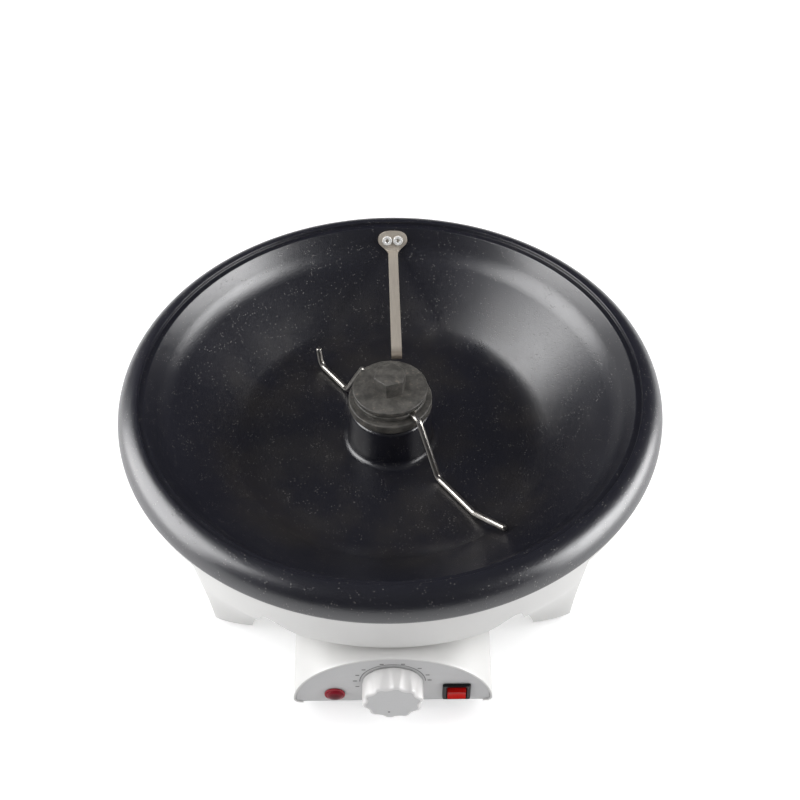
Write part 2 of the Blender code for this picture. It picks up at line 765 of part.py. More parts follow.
def side_boxes(name, x):
    """Everything further out than a place across, up to where the skirt starts there."""
    top = SIDE_EDGE_Z if x == LEG_SIDE_X else SIDE_EDGE_Z - SINK
    size = (FLARE_R, 2 * FLARE_R, top + OVERRUN)
    boxes = [box("side_box", size, at=(side * (x + FLARE_R / 2), 0, (top - OVERRUN) / 2))
             for side in (-1, 1)]
    return joined(name, boxes)


def foot_places():
    x = LEG_SIDE_X - FOOT_IN
    y = LEG_HALF_Y * (1 - (x / LEG_HALF_X) ** LEG_POWER) ** (1 / LEG_POWER) - FOOT_IN
    return {"front_left": (-x, -y), "front_right": (x, -y),
            "rear_left": (-x, y), "rear_right": (x, y)}


def arch_outline():
    """Opening under the skirt between the legs, seen from the front."""
    half = [(LEG_IN_X, -OVERRUN, 0),
            (LEG_IN_X, FOOT_H, 0),
            (NOTCH_X, SKIRT_EDGE_Z + NOTCH_RISE, NOTCH_FILLET),
            (APRON_X, SKIRT_EDGE_Z, APRON_FILLET)]
    mirrored = [(-x, z, radius) for x, z, radius in half[::-1]]
    return rounded(half + mirrored, closed=True)


def make_stand():
    legs = [SKIRT_EDGE_Z + (FOOT_H - SKIRT_EDGE_Z) * k / LEG_LEVELS for k in range(LEG_LEVELS + 1)]
    sections = [wall_section(SKIRT_TOP_Z, SKIRT_LIP), wall_section(SKIRT_TOP_Z - SKIRT_LIP)]
    stand = loft("housing_shell", sections + [wall_section(z) for z in legs], "white_plastic")
    cut(stand, side_boxes("side_trims", LEG_SIDE_X))
    hollow_levels = [RIM_WEB_Z] + legs[:-1] + [FOOT_H + LEG_PAD_T]
    hollow = loft("stand_hollow", [wall_section(z, WALL) for z in hollow_levels])
    cut(hollow, side_boxes("hollow_trims", LEG_SIDE_X - WALL))
    cut(stand, hollow)
    cut(stand, prism("arches", [arch_outline()], -FLARE_R, FLARE_R, turn=ALONG_Y))
    cut(stand, prism("side_openings", [side_opening_outline()], -FLARE_R, FLARE_R, turn=ALONG_X))

    web_top = RIM_WEB_Z + RIM_WEB_T
    recess_r = SKIRT_TOP_R - SKIRT_LIP - WALL
    above = SKIRT_TOP_Z + OVERRUN
    cut(stand, turned("rim_recess", [(0, RIM_WEB_Z - SINK), (RIM_IN_R, RIM_WEB_Z - SINK),
                                     (RIM_IN_R, web_top), (recess_r, web_top),
                                     (recess_r, above), (0, above)], steps=STAND_STEPS))
    upstand_top = height_on(pan_underside(), UPSTAND_R) - GAP
    inside, low = UPSTAND_R - UPSTAND_T, web_top - SINK
    add(stand, turned("rim_upstand", [(inside, low), (UPSTAND_R, low), (UPSTAND_R, upstand_top),
                                      (inside, upstand_top)], steps=STAND_STEPS))

    cut(stand, pegs("foot_holes", foot_places().values(), FOOT_PEG_R + GAP,
                    FOOT_H - OVERRUN, FOOT_H + OVERRUN))
    cut(stand, pegs("rim_screw_holes", four_ways(BOWL_SCREW_RING_R), SCREW_R + GAP,
                    RIM_WEB_Z - OVERRUN, web_top + SINK))

    for name, (x, y) in foot_places().items():
        top = FOOT_H - GAP
        foot = [(0, 0), (FOOT_R, 0), (FOOT_R, top), (FOOT_PEG_R, top),
                (FOOT_PEG_R, top + LEG_PAD_T), (0, top + LEG_PAD_T)]
        turned("rubber_foot_" + name, foot, "rubber", at=(x, y, 0), steps=ROUND_STEPS)


# Bowl under the pan

def bowl_path():
    return rounded([(BOWL_FLANGE_R, BOWL_FLANGE_Z, 0),
                    (BOWL_TOP_R, BOWL_FLANGE_Z, BOWL_TOP_FILLET),
                    (BOWL_FLOOR_R, BOWL_FLOOR_Z, BOWL_FILLET),
                    (BOWL_HOLE_R, BOWL_FLOOR_Z, 0)])


def heater_end_y():
    return -sqrt(HEATER_RING_R ** 2 - HEATER_END_X ** 2)


def heater_end_places():
    x = HEATER_END_X - HEATER_BEND * HEATER_BEND_SHARES[-1][0]
    return {"left": (-x, heater_end_y()), "right": (x, heater_end_y())}


def capillary_hole():
    return BULB_X + BULB_L / 2 + HEATER_BEND, -BULB_Y


def make_bowl():
    bowl = turned("base_bowl", sheet_profile(bowl_path(), BOWL_T), "white_enamel",
                  steps=PAN_STEPS)
    low, high = BOWL_FLOOR_Z - OVERRUN, BOWL_FLOOR_Z + OVERRUN
    cut(bowl, joined("bowl_holes", [
        pegs("pan_screws", four_ways(PAN_BOSS_RING_R, pi / 4), SCREW_R + GAP, low, high),
        pegs("bushes", heater_end_places().values(), HEATER_BUSH_R + GAP, low, high),
        pegs("capillary", [capillary_hole()], CAPILLARY_R + GAP, low, high),
        pegs("rim_screws", four_ways(BOWL_SCREW_RING_R), SCREW_R + GAP,
             BOWL_FLANGE_Z - OVERRUN, BOWL_FLANGE_Z + OVERRUN)]))
    for k, (x, y) in enumerate(four_ways(BOWL_SCREW_RING_R)):
        make_screw("bowl_screw_%d" % (k + 1), x, y, BOWL_FLANGE_Z - GAP, BOWL_SCREW_L)


def make_screw(name, x, y, seat, length):
    """Round-headed screw that points up, its head under a seat."""
    profile = [(0, -SCREW_HEAD_H), (SCREW_HEAD_R * SCREW_CROWN_SHARE, -SCREW_HEAD_H),
               (SCREW_HEAD_R, -SCREW_HEAD_H / 2), (SCREW_HEAD_R, 0), (SCREW_R, 0),
               (SCREW_R, length - SCREW_R), (0, length)]
    turned(name, profile, "bright_steel", at=(x, y, seat), steps=SMALL_STEPS)


# Heater, reflector and what ties them to the pan

def make_heater():
    end_y = heater_end_y()
    open_angle = atan2(HEATER_END_X, -end_y)
    points = []
    for k in range(HEATER_STEPS + 1):
        angle = -pi / 2 + open_angle + (2 * pi - 2 * open_angle) * k / HEATER_STEPS
        points.append((HEATER_RING_R * cos(angle), HEATER_RING_R * sin(angle), HEATER_Z))
    start = [(HEATER_END_X - HEATER_BEND * across, end_y, HEATER_Z - HEATER_BEND * down)
             for across, down in HEATER_BEND_SHARES]
    start.append((start[-1][0], end_y, HEATER_Z - HEATER_END_DROP))
    end = [(-x, y, z) for x, y, z in start]
    tube("heater_ring", start[::-1] + points + end, HEATER_R, "element_sheath")

    floor = BOWL_FLOOR_Z + BOWL_T + GAP
    flange = floor + HEATER_BUSH_FLANGE_T
    bore = HEATER_R + GAP
    bush = [(bore, flange), (HEATER_BUSH_FLANGE_R, flange), (HEATER_BUSH_FLANGE_R, floor),
            (HEATER_BUSH_R, floor), (HEATER_BUSH_R, floor - HEATER_BUSH_L),
            (bore, floor - HEATER_BUSH_L)]
    for name, (x, y) in heater_end_places().items():
        turned("heater_bush_" + name, bush, "ceramic", at=(x, y, 0), steps=SMALL_STEPS)


def make_reflector():
    path = rounded([(REFLECTOR_HOLE_R, REFLECTOR_Z, 0),
                    (REFLECTOR_R, REFLECTOR_Z, REFLECTOR_FILLET),
                    (REFLECTOR_R + REFLECTOR_EDGE_W, REFLECTOR_Z + REFLECTOR_EDGE_H, 0)])
    tray = turned("heat_reflector", sheet_profile(path, -REFLECTOR_T), "aluminised")
    low, high = REFLECTOR_Z - OVERRUN, REFLECTOR_Z + OVERRUN
    cut(tray, joined("reflector_holes", [
        pegs("pan_screws", four_ways(PAN_BOSS_RING_R, pi / 4), SCREW_R + GAP, low, high),
        pegs("ends", heater_end_places().values(), HEATER_R + HEATER_HOLE_CLEAR, low, high),
        pegs("capillary", [capillary_hole()], CAPILLARY_R + GAP, low, high)]))


def make_ties():
    bowl_top = BOWL_FLOOR_Z + BOWL_T + GAP
    bore = SCREW_R + GAP
    sleeve = [(bore, bowl_top), (STANDOFF_R, bowl_top),
              (STANDOFF_R, REFLECTOR_Z - GAP), (bore, REFLECTOR_Z - GAP)]
    length = PAN_BOSS_Z + PAN_BOSS_HOLE_H - BOWL_FLOOR_Z
    for k, (x, y) in enumerate(four_ways(PAN_BOSS_RING_R, pi / 4)):
        turned("pan_standoff_%d" % (k + 1), sleeve, "bright_steel", at=(x, y, 0),
               steps=SMALL_STEPS)
        make_screw("pan_screw_%d" % (k + 1), x, y, BOWL_FLOOR_Z - GAP, length)


def make_sensors():
    """Thermostat bulb and thermal fuse under the pan floor, and the bulb's capillary tube."""
    bulb_z = PAN_UNDER_Z - GAP - BULB_R
    left, right = BULB_X - BULB_L / 2, BULB_X + BULB_L / 2
    tube("sensor_bulb", [(left, -BULB_Y, bulb_z), (right, -BULB_Y, bulb_z)], BULB_R, "copper")
    fuse_z = PAN_UNDER_Z - GAP - FUSE_R
    tube("thermal_fuse", [(-FUSE_L / 2, BULB_Y, fuse_z), (FUSE_L / 2, BULB_Y, fuse_z)],
         FUSE_R, "bright_steel")

    hole_x, hole_y = capillary_hole()
    low_z = (CASE_Z + BOWL_FLOOR_Z) / 2
    back_y = PANEL_BACK_Y - GAP - THERMOSTAT_D
    side_x = THERMOSTAT_W / 4
    port_z = KNOB_Z + THERMOSTAT_H / 4
    drop = HEATER_BEND
    points = [(right + GAP, hole_y, bulb_z), (hole_x - drop / 3, hole_y, bulb_z),
              (hole_x, hole_y, bulb_z - drop / 3), (hole_x, hole_y, low_z + drop),
              (hole_x, hole_y - drop / 3, low_z + drop / 3), (hole_x, hole_y - drop, low_z),
              (hole_x, -BOWL_FLOOR_R, low_z),
              (side_x, (-BOWL_FLOOR_R - back_y) / 2, (low_z + port_z) / 2),
              (side_x, -back_y + drop, port_z), (side_x, -back_y + GAP, port_z)]
    tube("thermostat_capillary", points, CAPILLARY_R, "copper")


# Drive shaft, gears and motor

def ring_outline(radius, steps=SMALL_STEPS, centre=(0, 0)):
    return [(centre[0] + radius * cos(2 * pi * k / steps),
             centre[1] + radius * sin(2 * pi * k / steps)) for k in range(steps)]


def gear_outline(teeth, first):
    """Straight-flanked teeth, the first centred on an angle."""
    pitch_r = teeth * GEAR_MODULE / 2
    half = TOOTH_WIDTH_SHARE * pi * GEAR_MODULE / 2
    tip, root = TOOTH_TIP_SHARE * GEAR_MODULE, TOOTH_ROOT_SHARE * GEAR_MODULE
    tip_half, root_half = half - tip * tan(TOOTH_FLANK), half + root * tan(TOOTH_FLANK)
    outline = []
    for k in range(teeth):
        middle = first + 2 * pi * k / teeth
        for radius, offset in ((pitch_r - root, -root_half), (pitch_r + tip, -tip_half),
                               (pitch_r + tip, tip_half), (pitch_r - root, root_half)):
            angle = middle + offset / radius
            outline.append((radius * cos(angle), radius * sin(angle)))
    return outline


def belt_outline(large, small, distance, steps=ROUND_STEPS):
    """Outline round a large circle at the centre and a small one behind it."""
    lean = atan2(large - small, sqrt(distance ** 2 - (large - small) ** 2))
    near, far = [], []
    for k in range(steps // 2 + 1):
        angle = lean + (pi - 2 * lean) * k / (steps // 2)
        far.append((small * cos(angle), distance + small * sin(angle)))
    for k in range(steps + 1):
        angle = pi - lean + (pi + 2 * lean) * k / steps
        near.append((large * cos(angle), large * sin(angle)))
    return far + near


def make_gears():
    large = GEAR_R + TOOTH_TIP_SHARE * GEAR_MODULE + CASE_CLEAR
    small = PINION_R + TOOTH_TIP_SHARE * GEAR_MODULE + CASE_CLEAR
    outside = belt_outline(large + CASE_T, small + CASE_T, MOTOR_Y)
    case = prism("gear_case", [outside], CASE_Z, CASE_TOP_Z, "black_plastic")
    cut(case, prism("case_pocket", [belt_outline(large, small, MOTOR_Y)], CASE_FLOOR_Z,
                    CASE_TOP_Z + OVERRUN))
    cut(case, joined("case_holes", [
        pegs("bush", [(0, 0)], BUSH_R + GAP, CASE_Z - OVERRUN, CASE_TOP_Z),
        pegs("spindle", [(0, MOTOR_Y)], MOTOR_PINION_R + GAP, CASE_Z - OVERRUN, CASE_TOP_Z)]))
    prism("gear_case_lid", [outside, ring_outline(SHAFT_R + GAP)], CASE_LID_Z,
          CASE_LID_Z + CASE_LID_T, "black_plastic")

    bush_top = CASE_FLOOR_Z + GAP + BUSH_FLANGE_T
    bore = SHAFT_R + GAP
    gear = prism("output_gear", [gear_outline(GEAR_TEETH, pi / 2 + pi / GEAR_TEETH)],
                 GEAR_Z, GEAR_Z + GEAR_T, "nylon")
    add(gear, pegs("gear_hub", [(0, 0)], GEAR_HUB_R, bush_top + GAP, GEAR_Z + GEAR_T / 2,
                   steps=ROUND_STEPS))
    cut(gear, pegs("gear_bore", [(0, 0)], bore, CASE_FLOOR_Z, CASE_TOP_Z))
    pinion_teeth = gear_outline(PINION_TEETH, -pi / 2)
    prism("motor_pinion", [pinion_teeth, ring_outline(MOTOR_PINION_R + GAP)],
          GEAR_Z - PINION_SPARE, GEAR_Z + GEAR_T + PINION_SPARE, "brass", at=(0, MOTOR_Y, 0))


def make_shaft():
    shaft = [(0, CASE_Z), (SHAFT_R, CASE_Z), (SHAFT_R, SHAFT_TOP_Z - SHAFT_CHAMFER),
             (SHAFT_R - SHAFT_CHAMFER, SHAFT_TOP_Z), (0, SHAFT_TOP_Z)]
    turned("drive_shaft", shaft, "bright_steel", steps=SMALL_STEPS)
    bore = SHAFT_R + GAP
    top = UPPER_BUSH_Z + BUSH_FLANGE_T
    upper = [(bore, top), (UPPER_BUSH_FLANGE_R, top), (UPPER_BUSH_FLANGE_R, UPPER_BUSH_Z),
             (BUSH_R, UPPER_BUSH_Z), (BUSH_R, top - UPPER_BUSH_L), (bore, top - UPPER_BUSH_L)]
    turned("upper_bush", upper, "bronze", steps=SMALL_STEPS)
    base = CASE_FLOOR_Z + GAP
    lower = [(bore, base + BUSH_FLANGE_T), (GEAR_HUB_R, base + BUSH_FLANGE_T),
             (GEAR_HUB_R, base), (BUSH_R, base), (BUSH_R, CASE_Z), (bore, CASE_Z)]
    turned("lower_bush", lower, "bronze", steps=SMALL_STEPS)


def make_motor():
    at = (0, MOTOR_Y, 0)
    floor, ceiling = MOTOR_Z + MOTOR_T, MOTOR_TOP_Z - MOTOR_T
    inside, hole = MOTOR_R - MOTOR_T, MOTOR_PINION_R + GAP
    can = [(0, MOTOR_Z), (MOTOR_R, MOTOR_Z), (MOTOR_R, MOTOR_TOP_Z), (hole, MOTOR_TOP_Z),
           (hole, ceiling), (inside, ceiling), (inside, floor), (0, floor)]
    turned("motor_can", can, "bright_steel", at=at)
    base, out = floor + GAP, inside - GAP
    coil_in, coil_top = ROTOR_R + COIL_GAP, ceiling - COIL_DROP
    coil = [(coil_in, base), (out, base), (out, coil_top), (coil_in, coil_top)]
    turned("stator_coil", coil, "copper", at=at)
    low, high = base + ROTOR_LIFT, ceiling - ROTOR_DROP
    top = GEAR_Z + GEAR_T + SPINDLE_SPARE
    rotor = [(0, base), (MOTOR_PINION_R, base), (MOTOR_PINION_R, low), (ROTOR_R, low),
             (ROTOR_R, high), (MOTOR_PINION_R, high), (MOTOR_PINION_R, top), (0, top)]
    turned("motor_rotor", rotor, "magnet", at=at, steps=SMALL_STEPS)


# Control tunnel under the bowl

def tunnel_half(y):
    """Half width of the tunnel at a depth, before its rear end is rounded."""
    share = (y + TUNNEL_FRONT_Y) / (TUNNEL_REAR_Y + TUNNEL_FRONT_Y)
    return TUNNEL_HALF + (TUNNEL_REAR_HALF - TUNNEL_HALF) * share


def arch(half, height, open_bottom=False, corner=TUNNEL_CORNER):
    """Half ellipse on the tunnel's bottom line, in width and height."""
    corners = []
    for k in range(TUNNEL_ARCH_STEPS + 1):
        angle = TUNNEL_TOE + (pi - 2 * TUNNEL_TOE) * k / TUNNEL_ARCH_STEPS
        corners.append((half * cos(angle), TUNNEL_BOTTOM + height * sin(angle), 0))
    if open_bottom:
        low = TUNNEL_BOTTOM - OVERRUN
        corners += [(-half, TUNNEL_BOTTOM, 0), (-half, low, 0), (half, low, 0),
                    (half, TUNNEL_BOTTOM, 0)]
    else:
        corners += [(-half, TUNNEL_BOTTOM, corner), (half, TUNNEL_BOTTOM, corner)]
    return rounded(corners, closed=True)


def tunnel_sections(places, inset, open_bottom):
    """Arches at depths, each with how much it is drawn in."""
    return [[(x, y, z) for x, z in arch(tunnel_half(y) - inset - drawn,
                                        TUNNEL_H - inset - drawn, open_bottom)]
            for y, drawn in places]


def panel_outline(clearance, open_bottom):
    rim = TUNNEL_RIM + clearance
    return arch(TUNNEL_HALF - rim, TUNNEL_H - rim, open_bottom, TUNNEL_CORNER - TUNNEL_RIM)


def column_places():
    front = [(side * COLUMN_FRONT_X, -COLUMN_FRONT_Y) for side in (-1, 1)]
    return front + [(side * COLUMN_REAR_X, COLUMN_REAR_Y) for side in (-1, 1)]


def make_tunnel():
    rear = TUNNEL_REAR_Y - TUNNEL_REAR_ROUND
    outer = [(-TUNNEL_FRONT_Y, 0), (rear, 0),
             (TUNNEL_REAR_Y - TUNNEL_REAR_ROUND / 4, TUNNEL_REAR_ROUND / 3),
             (TUNNEL_REAR_Y, TUNNEL_REAR_ROUND)]
    tunnel = loft("control_housing", tunnel_sections(outer, 0, False), "white_plastic")
    inner = [(-TUNNEL_FRONT_Y - OVERRUN, 0), (rear - TUNNEL_WALL, 0),
             (TUNNEL_REAR_Y - TUNNEL_WALL, TUNNEL_REAR_ROUND)]
    cut(tunnel, loft("tunnel_hollow", tunnel_sections(inner, TUNNEL_WALL, True)))
    add(tunnel, pegs("tunnel_columns", column_places(), COLUMN_R, COLUMN_Z,
                     COLUMN_Z + COLUMN_H))
    cut(tunnel, prism("panel_rebate", [panel_outline(0, True)], PANEL_BACK_Y - GAP,
                      TUNNEL_FRONT_Y + OVERRUN, turn=ALONG_Y))
    cut(tunnel, pegs("column_holes", column_places(), SCREW_R + GAP, COLUMN_Z - OVERRUN,
                     PLATE_Z + PLATE_SCREW_L + GAP))
    cut(tunnel, pegs("gland_hole", [(GLAND_X, GLAND_Z)], GLAND_R + GAP,
                     -TUNNEL_REAR_Y - OVERRUN, OVERRUN - TUNNEL_REAR_Y, turn=ALONG_Y))
    outline = [(0, BOWL_FLOOR_Z)] + bowl_path()[::-1][1:] + [(BOWL_FLANGE_R, SEAT_Z)]
    lowered = [(r, z) for r, z in beside(outline, BOWL_CLEAR)]
    lowered[0] = (0, lowered[0][1])
    cut(tunnel, turned("bowl_space", lowered + [(0, SEAT_Z)], steps=PAN_STEPS))


def make_gland():
    wall = TUNNEL_WALL + GAP
    inside = wall + GLAND_FLANGE_T
    middle_r = (GLAND_R + GLAND_FLANGE_R) / 2
    profile = [(GLAND_BORE_R, -inside), (middle_r, -inside), (middle_r, -wall),
               (GLAND_R, -wall), (GLAND_R, GAP), (GLAND_FLANGE_R, GAP),
               (middle_r, GAP + GLAND_FLANGE_T), (GLAND_BORE_R, GAP + GLAND_FLANGE_T)]
    turned("cord_gland", profile, "rubber", at=(GLAND_X, TUNNEL_REAR_Y, GLAND_Z),
           turn=(-pi / 2, 0, 0), steps=SMALL_STEPS)


def make_panel():
    switch = [(SWITCH_X + sx * (SWITCH_BODY_W / 2 + GAP), SWITCH_Z + sz * (SWITCH_BODY_H / 2 + GAP))
              for sx, sz in ((-1, -1), (1, -1), (1, 1), (-1, 1))]
    holes = [ring_outline(NECK_R + GAP, centre=(0, KNOB_Z)),
             ring_outline(LAMP_R + GAP, centre=(LAMP_X, LAMP_Z)), switch]
    prism("control_panel", [panel_outline(GAP, False)] + holes, PANEL_BACK_Y, PANEL_Y,
          "grey_plastic", turn=ALONG_Y)


def slot_outline(x, y, width, length):
    half, radius = length / 2, width / 2
    corners = [(x - radius, y - half, radius), (x + radius, y - half, radius),
               (x + radius, y + half, radius), (x - radius, y + half, radius)]
    return rounded([(px, py, r - WELD) for px, py, r in corners], closed=True)


def make_bottom_plate():
    front = -(PANEL_BACK_Y - 2 * GAP)
    end = TUNNEL_REAR_Y - TUNNEL_WALL - GAP
    corner = end - TUNNEL_REAR_ROUND
    half = [(tunnel_half(y) - TUNNEL_WALL - drawn - GAP, y)
            for y, drawn in ((front, 0), (corner, GAP), (end, TUNNEL_REAR_ROUND + GAP))]
    outline = half + [(-x, y) for x, y in half[::-1]]
    holes = [ring_outline(SCREW_R + GAP, centre=place) for place in column_places()]
    for k in range(VENT_COUNT):
        x = (k - (VENT_COUNT - 1) / 2) * VENT_PITCH
        holes.append(slot_outline(x, -VENT_Y, VENT_W, VENT_L))
    prism("bottom_plate", [outline] + holes, PLATE_Z, PLATE_TOP_Z, "bright_steel")
    for k, (x, y) in enumerate(column_places()):
        make_screw("plate_screw_%d" % (k + 1), x, y, PLATE_Z - GAP, PLATE_SCREW_L)


def make_terminal_block():
    at = (BLOCK_X, BLOCK_Y, PLATE_TOP_Z + GAP + BLOCK_H / 2)
    block = box("terminal_block", (BLOCK_W, BLOCK_L, BLOCK_H), "black_plastic", at)
    wells = [(BLOCK_X, BLOCK_Y + (k - (BLOCK_WELLS - 1) / 2) * BLOCK_L / BLOCK_WELLS)
             for k in range(BLOCK_WELLS)]
    top = PLATE_TOP_Z + GAP + BLOCK_H
    cut(block, pegs("block_wells", wells, BLOCK_WELL_R, top - BLOCK_WELL_DEPTH, top + OVERRUN))


# Knob, thermostat, lamp and switch

def make_knob():
    at = (0, -KNOB_BACK_Y, KNOB_Z)
    bore = SPINDLE_R + GAP
    bore_end = PANEL_Y + SPINDLE_OUT + GAP - KNOB_BACK_Y
    profile = [(0, bore_end), (bore, bore_end), (bore, KNOB_HOLLOW_L),
               (KNOB_HOLLOW_R, KNOB_HOLLOW_L), (KNOB_HOLLOW_R, 0), (KNOB_R, 0),
               (KNOB_R, KNOB_L - KNOB_EDGE), (KNOB_R - KNOB_EDGE, KNOB_L), (0, KNOB_L)]
    knob = turned("control_knob", profile, "white_plastic", at, ALONG_Y,
                  steps=ROUND_STEPS + SMALL_STEPS)
    mesh = bpy.data.meshes.new("knob_scallops")
    bm = bmesh.new()
    reach = KNOB_L / cos(KNOB_SCALLOP_LEAN) + OVERRUN
    centre_r = KNOB_R - KNOB_SCALLOP_DEPTH + KNOB_SCALLOP_R / cos(KNOB_SCALLOP_LEAN)
    for k in range(KNOB_LOBES):
        round_knob = Matrix.Rotation(2 * pi * (k + 0.5) / KNOB_LOBES - pi / 2 - KNOB_TURN, 4, "Z")
        foot = Matrix.Translation((centre_r, 0, KNOB_L))
        lean = Matrix.Rotation(-KNOB_SCALLOP_LEAN, 4, "Y")
        bmesh.ops.create_cone(bm, cap_ends=True, segments=ROUND_STEPS, radius1=KNOB_SCALLOP_R,
                              radius2=KNOB_SCALLOP_R, depth=2 * reach,
                              matrix=round_knob @ foot @ lean)
    bm.to_mesh(mesh)
    bm.free()
    cut(knob, new_object("knob_scallops", mesh, None, at, ALONG_Y))

    spindle = [(0, -SPINDLE_IN), (SPINDLE_R, -SPINDLE_IN), (SPINDLE_R, SPINDLE_OUT),
               (0, SPINDLE_OUT)]
    turned("thermostat_spindle", spindle, "bright_steel", (0, -PANEL_Y, KNOB_Z), ALONG_Y,
           steps=SMALL_STEPS)


def make_thermostat():
    front = PANEL_BACK_Y - GAP
    at = (0, -(front - THERMOSTAT_D / 2), KNOB_Z)
    body = box("thermostat_body", (THERMOSTAT_W, THERMOSTAT_D, THERMOSTAT_H), "bright_steel", at)
    soften(body, THERMOSTAT_EDGE)
    axis = [(0, KNOB_Z)]
    neck_end = PANEL_Y + NECK_OUT
    add(body, pegs("neck", axis, NECK_R, front - THERMOSTAT_D / 2, neck_end, turn=ALONG_Y))
    cut(body, pegs("neck_bore", axis, SPINDLE_R + GAP, PANEL_Y - SPINDLE_IN - GAP,
                   neck_end + OVERRUN, turn=ALONG_Y))
    prism("thermostat_nut", [ring_outline(NUT_R, 6), ring_outline(NECK_R + GAP)],
          PANEL_Y + GAP, PANEL_Y + GAP + NUT_T, "bright_steel", at=(0, 0, KNOB_Z), turn=ALONG_Y)


def make_lamp():
    flange = GAP + LAMP_FLANGE_T
    profile = [(0, -LAMP_L), (LAMP_R, -LAMP_L), (LAMP_R, GAP), (LAMP_FLANGE_R, GAP),
               (LAMP_FLANGE_R, flange)]
    profile += [(LAMP_FLANGE_R * across, flange + LAMP_DOME_H * out)
                for across, out in LAMP_DOME_SHARES]
    turned("lamp_lens", profile + [(0, flange + LAMP_DOME_H)], "red_lens",
           (LAMP_X, -PANEL_Y, LAMP_Z), ALONG_Y)
    back = PANEL_BACK_Y - GAP
    prism("lamp_nut", [ring_outline(LAMP_NUT_R, 6), ring_outline(LAMP_R + GAP)],
          back - LAMP_NUT_T, back, "nylon", at=(LAMP_X, 0, LAMP_Z), turn=ALONG_Y)


def block_outline(width, height, corner=0.0):
    return rounded([(SWITCH_X + sx * width / 2, SWITCH_Z + sz * height / 2, corner)
                    for sx, sz in ((-1, -1), (1, -1), (1, 1), (-1, 1))], closed=True)


def make_switch():
    face = PANEL_Y + GAP + SWITCH_BEZEL_T
    frame = prism("switch_body", [block_outline(SWITCH_W, SWITCH_H, SWITCH_CORNER)],
                  PANEL_Y + GAP, face, "black_plastic", turn=ALONG_Y)
    add(frame, prism("switch_box", [block_outline(SWITCH_BODY_W, SWITCH_BODY_H)],
                     PANEL_Y - SWITCH_BODY_D, face - SWITCH_BEZEL_T / 2, turn=ALONG_Y))
    pocket = block_outline(ROCKER_W + 2 * ROCKER_CLEAR, ROCKER_H + 2 * ROCKER_SWING)
    cut(frame, prism("switch_pocket", [pocket], face - ROCKER_POCKET_D, face + OVERRUN,
                     turn=ALONG_Y))

    shape = [(-ROCKER_OUT, -ROCKER_H / 2), (ROCKER_IN, -ROCKER_H / 2), (ROCKER_IN, ROCKER_H / 2),
             (-ROCKER_OUT, ROCKER_H / 2), (ROCKER_DIP - ROCKER_OUT, 0)]
    tilted = [(y * cos(ROCKER_TILT) - z * sin(ROCKER_TILT),
               y * sin(ROCKER_TILT) + z * cos(ROCKER_TILT)) for y, z in shape]
    prism("switch_rocker", [tilted], -ROCKER_W / 2, ROCKER_W / 2, "red_rocker",
          at=(SWITCH_X, -(face - ROCKER_PIVOT_IN), SWITCH_Z), turn=ALONG_X)


# Stirrer

def arm_path(start_r, bowl_r, tip_r, tip_rise):
    corners = [(start_r, ARM_Z, 0), (ARM_BEND_R, ARM_Z, ARM_FILLET),
               (ARM_FLOOR_R, ARM_FLOOR_Z, ARM_FILLET), (bowl_r, ARM_FLOOR_Z, ARM_FILLET),
               (tip_r, ARM_FLOOR_Z + tip_rise, 0)]
    return [(r, 0, z) for r, z in rounded(corners)]


def arm_tip_r():
    """Radius of the front arm's end, at a gap from the pan's wall at its own height."""
    wall = [(z, r) for r, z in pan_bowl_path() if r > TURRET_BASE_R]
    return height_on(wall, ARM_FLOOR_Z + ARM_TIP_RISE) - ARM_TIP_GAP - ARM_R


